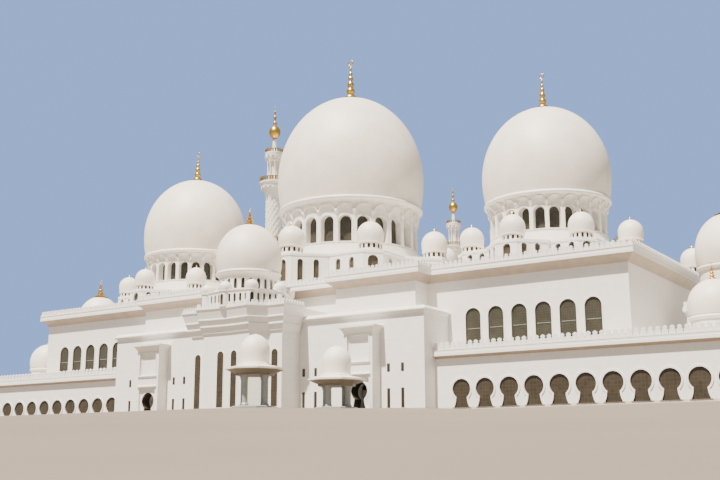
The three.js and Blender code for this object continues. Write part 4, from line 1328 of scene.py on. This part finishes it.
# %% End pavilions
PAVILION_HALF = 6.2
PAVILION_CORNICE = [(-0.3, 15.6), (0, 15.6), (0.1, 15.7), (0.2, 16), (0.5, 16.3), (0.5, 17), (-0.3, 17),
                    (-0.3, 15.6)]
PANEL_SHAPE = round_head(1.1, 10.2, 13.4)
PANEL_RIM = round_head(1.35, 10.0, 13.4)
for label, side in SIDES:
    place = place_of(side * END["x"], END["y"])
    cornice = moulding("cornice", square(PAVILION_HALF), PAVILION_CORNICE, True)
    row = merlons("pavilion", [sideways(square(PAVILION_HALF), 0.35, True)], 17, True, **SMALL_MERLONS)
    faces = [spot(0, 0, math.pi / 2 * n) @ spot(u, -PAVILION_HALF) for n in range(4) for u in (-2.6, 2.6)]
    frames = copies(surround("panel", PANEL_SHAPE, PANEL_RIM, -0.1, 0.12), faces)
    finished(joined(cornice, row, frames), f"{label}_pavilion_marble", WALL_MARBLE, place, smooth=25)
    finished(copies(standing("pane", PANEL_SHAPE, -0.2, 0.03), faces), f"{label}_pavilion_glass", DARK_GLASS,
             place, smooth=0)

# %% [markdown]
# Two little domed kiosks stand on the forecourt. Four thick eight-sided columns carry a beam, and over
# it a wide thin eave with a white lip. The columns are darkened to grey-green and the beam to dark grey,
# as painted shade under the eave. The dome stands up straight before it closes. The last number of each
# kiosk says how much lower it is than the first.

# %% Kiosks
KIOSKS = ((16.9, -23.4, 0), (25.4, -12.6, 1.45))
KIOSK_BEAM = 5.2
COLUMN_RING = 2.3
COLUMN = 0.44
BEAM = ((0.6, 0), (3.15, 0), (3.15, 0.3), (3.3, 0.36), (4.7, 0.9), (0.6, 0.94))
CANOPY = ((0.6, 0.86), (4.6, 0.86), (4.85, 0.95), (4.85, 1.2), (4.7, 1.24), (2.7, 1.62), (2.62, 1.9),
          (0.6, 1.9))
CAP = ((0, 1.6), (2.4, 1.6), (2.46, 1.9), (2.3, 2.0), (2.28, 2.2), (2.36, 2.9), (2.4, 3.9))
PLINTH = ((3.6, 0), (3.6, 0.25), (3.45, 0.35))


def eight_sided(name, rings, low=0.0):
    """A loft of octagons, each given as (radius, height above low)."""
    corners = [(math.cos(math.pi / 4 * i), math.sin(math.pi / 4 * i)) for i in range(8)]
    return loft(name, [[(r * x, r * y, low + z) for x, y in corners] for r, z in rings])


for number, (x, y, drop) in enumerate(KIOSKS, 1):
    low, place = KIOSK_BEAM - drop, place_of(x, y)
    finished(eight_sided("beam", BEAM, low), f"kiosk_{number}_soffit", PAINTED_SHADE_CANOPY_STONE, place, smooth=30)
    head = [(2.4 * math.cos(math.pi / 24 * i), 3.9 + 2.75 * math.sin(math.pi / 24 * i)) for i in range(1, 12)]
    cap = turned("cap", [(r, low + z) for r, z in (*CAP, *head, (0, 6.75))], 48)
    finished(joined(eight_sided("eave", CANOPY, low), cap), f"kiosk_{number}_canopy", DOME_MARBLE, place,
             [f"kiosk_{number}"])
    column = turned("column", [(0, 0.3), (0.6, 0.3), (0.6, 0.6), (COLUMN, 0.8), (COLUMN, low - 0.7),
                               (0.6, low - 0.15), (0.6, low + 0.1), (0, low + 0.1)], 8)
    columns = copies(moved(column, spot(COLUMN_RING, 0)), round_about(4))
    finished(joined(eight_sided("plinth", PLINTH), columns), f"kiosk_{number}_columns", PAINTED_SHADE_MARBLE, place)

# %% [markdown]
# The studio: a pale floor that falls away gently, so the low camera sees the foot of the walls. It
# is level under the building and under each kiosk, and it is not part of the object.

# %% Floor
FALL = 0.065
FLOOR_LOW = -1.3
UNDER = 0.002
FOOTPRINT = (-8.9, 8.9, -9.47, 12.2)
FRONT = (-3.8, 3.8, -10.7, 0)
PADS = ((1.69, -11.71, 0.5), (2.54, -10.63, 0.5))


def outside(x, y, box):
    x0, x1, y0, y1 = box
    return math.hypot(max(x0 - x, 0, x - x1), max(y0 - y, 0, y - y1))


let_go()
bpy.ops.mesh.primitive_grid_add(x_subdivisions=160, y_subdivisions=160, size=120, location=(0, 0, 0))
floor = bpy.context.object
floor.name = "studio_floor"
for corner in floor.data.vertices:
    x, y, _ = corner.co
    pads = [max(math.hypot(x - px, y - py) - r, 0) for px, py, r in PADS]
    away = min([outside(x, y, FOOTPRINT), outside(x, y, FRONT)] + pads)
    corner.co.z = max(-FALL * away, FLOOR_LOW) - UNDER
take(floor)
bpy.ops.object.shade_smooth()
floor_finish = smooth_marble("pale_studio_floor", "#7C7164", "#776C60", 0.8, cloud=20, grain=0.0)
floor.data.materials.append(floor_finish)

# %% [markdown]
# Clear daylight: one sun stands high, nearly in front of the building and a little to its left. The
# camera sees a blue sky, and the surfaces are filled with a paler and weaker light from all round.

# %% Light
SUN_LEFT = 6
SUN_HEIGHT = 64
SUN_STRENGTH = 14.5
SUN_WIDTH = 1.2
FILL_STRENGTH = 0.5
SKY_STRENGTH = 1.25
world = bpy.data.worlds.new("pale_sky")
world.use_nodes = True
fill = world.node_tree.nodes["Background"]
fill.inputs["Color"].default_value = linear("#E4EAF4")
fill.inputs["Strength"].default_value = FILL_STRENGTH
sky = add_node(world, "ShaderNodeBackground", values={"Color": linear("#8FAEEC"), "Strength": SKY_STRENGTH})
sight = add_node(world, "ShaderNodeLightPath")
both = add_node(world, "ShaderNodeMixShader",
                links={0: sight.outputs["Is Camera Ray"], 1: fill.outputs["Background"],
                       2: sky.outputs["Background"]})
link(world, both.outputs["Shader"], world.node_tree.nodes["World Output"].inputs["Surface"])
bpy.context.scene.world = world
let_go()
bpy.ops.object.light_add(type="SUN", rotation=(math.radians(90 - SUN_HEIGHT), 0, -math.radians(SUN_LEFT)))
sun = bpy.context.object
sun.data.energy = SUN_STRENGTH
sun.data.angle = math.radians(SUN_WIDTH)
sun.data.color = linear("#FFF4E4")[:3]

# %% [markdown]
# The camera stands low in front of the building and to its right, and looks up, as in the photo.

# %% Camera
CAMERA_PLACE = (12.121, -24.1565, -0.807)
CAMERA_UP = 12.41
CAMERA_LEFT = 33.97
CAMERA_ROLL = -0.16
CAMERA_LENS = 49.99
let_go()
bpy.ops.object.camera_add(location=CAMERA_PLACE)
camera = bpy.context.object
pan = Matrix.Rotation(math.radians(CAMERA_LEFT), 4, "Z")
tilt = Matrix.Rotation(math.radians(90 + CAMERA_UP), 4, "X")
roll = Matrix.Rotation(math.radians(CAMERA_ROLL), 4, "Z")
camera.matrix_world = Matrix.Translation(CAMERA_PLACE) @ (pan @ tilt) @ roll
camera.data.lens = CAMERA_LENS
camera.data.sensor_width = 36
camera.data.clip_end = 500
bpy.context.scene.camera = camera

# %% [markdown]
# At the end the faces of all the dressed pieces are counted.

# %% Sizes and the end
print("faces in all", sum(len(piece.data.polygons) for piece in MADE))
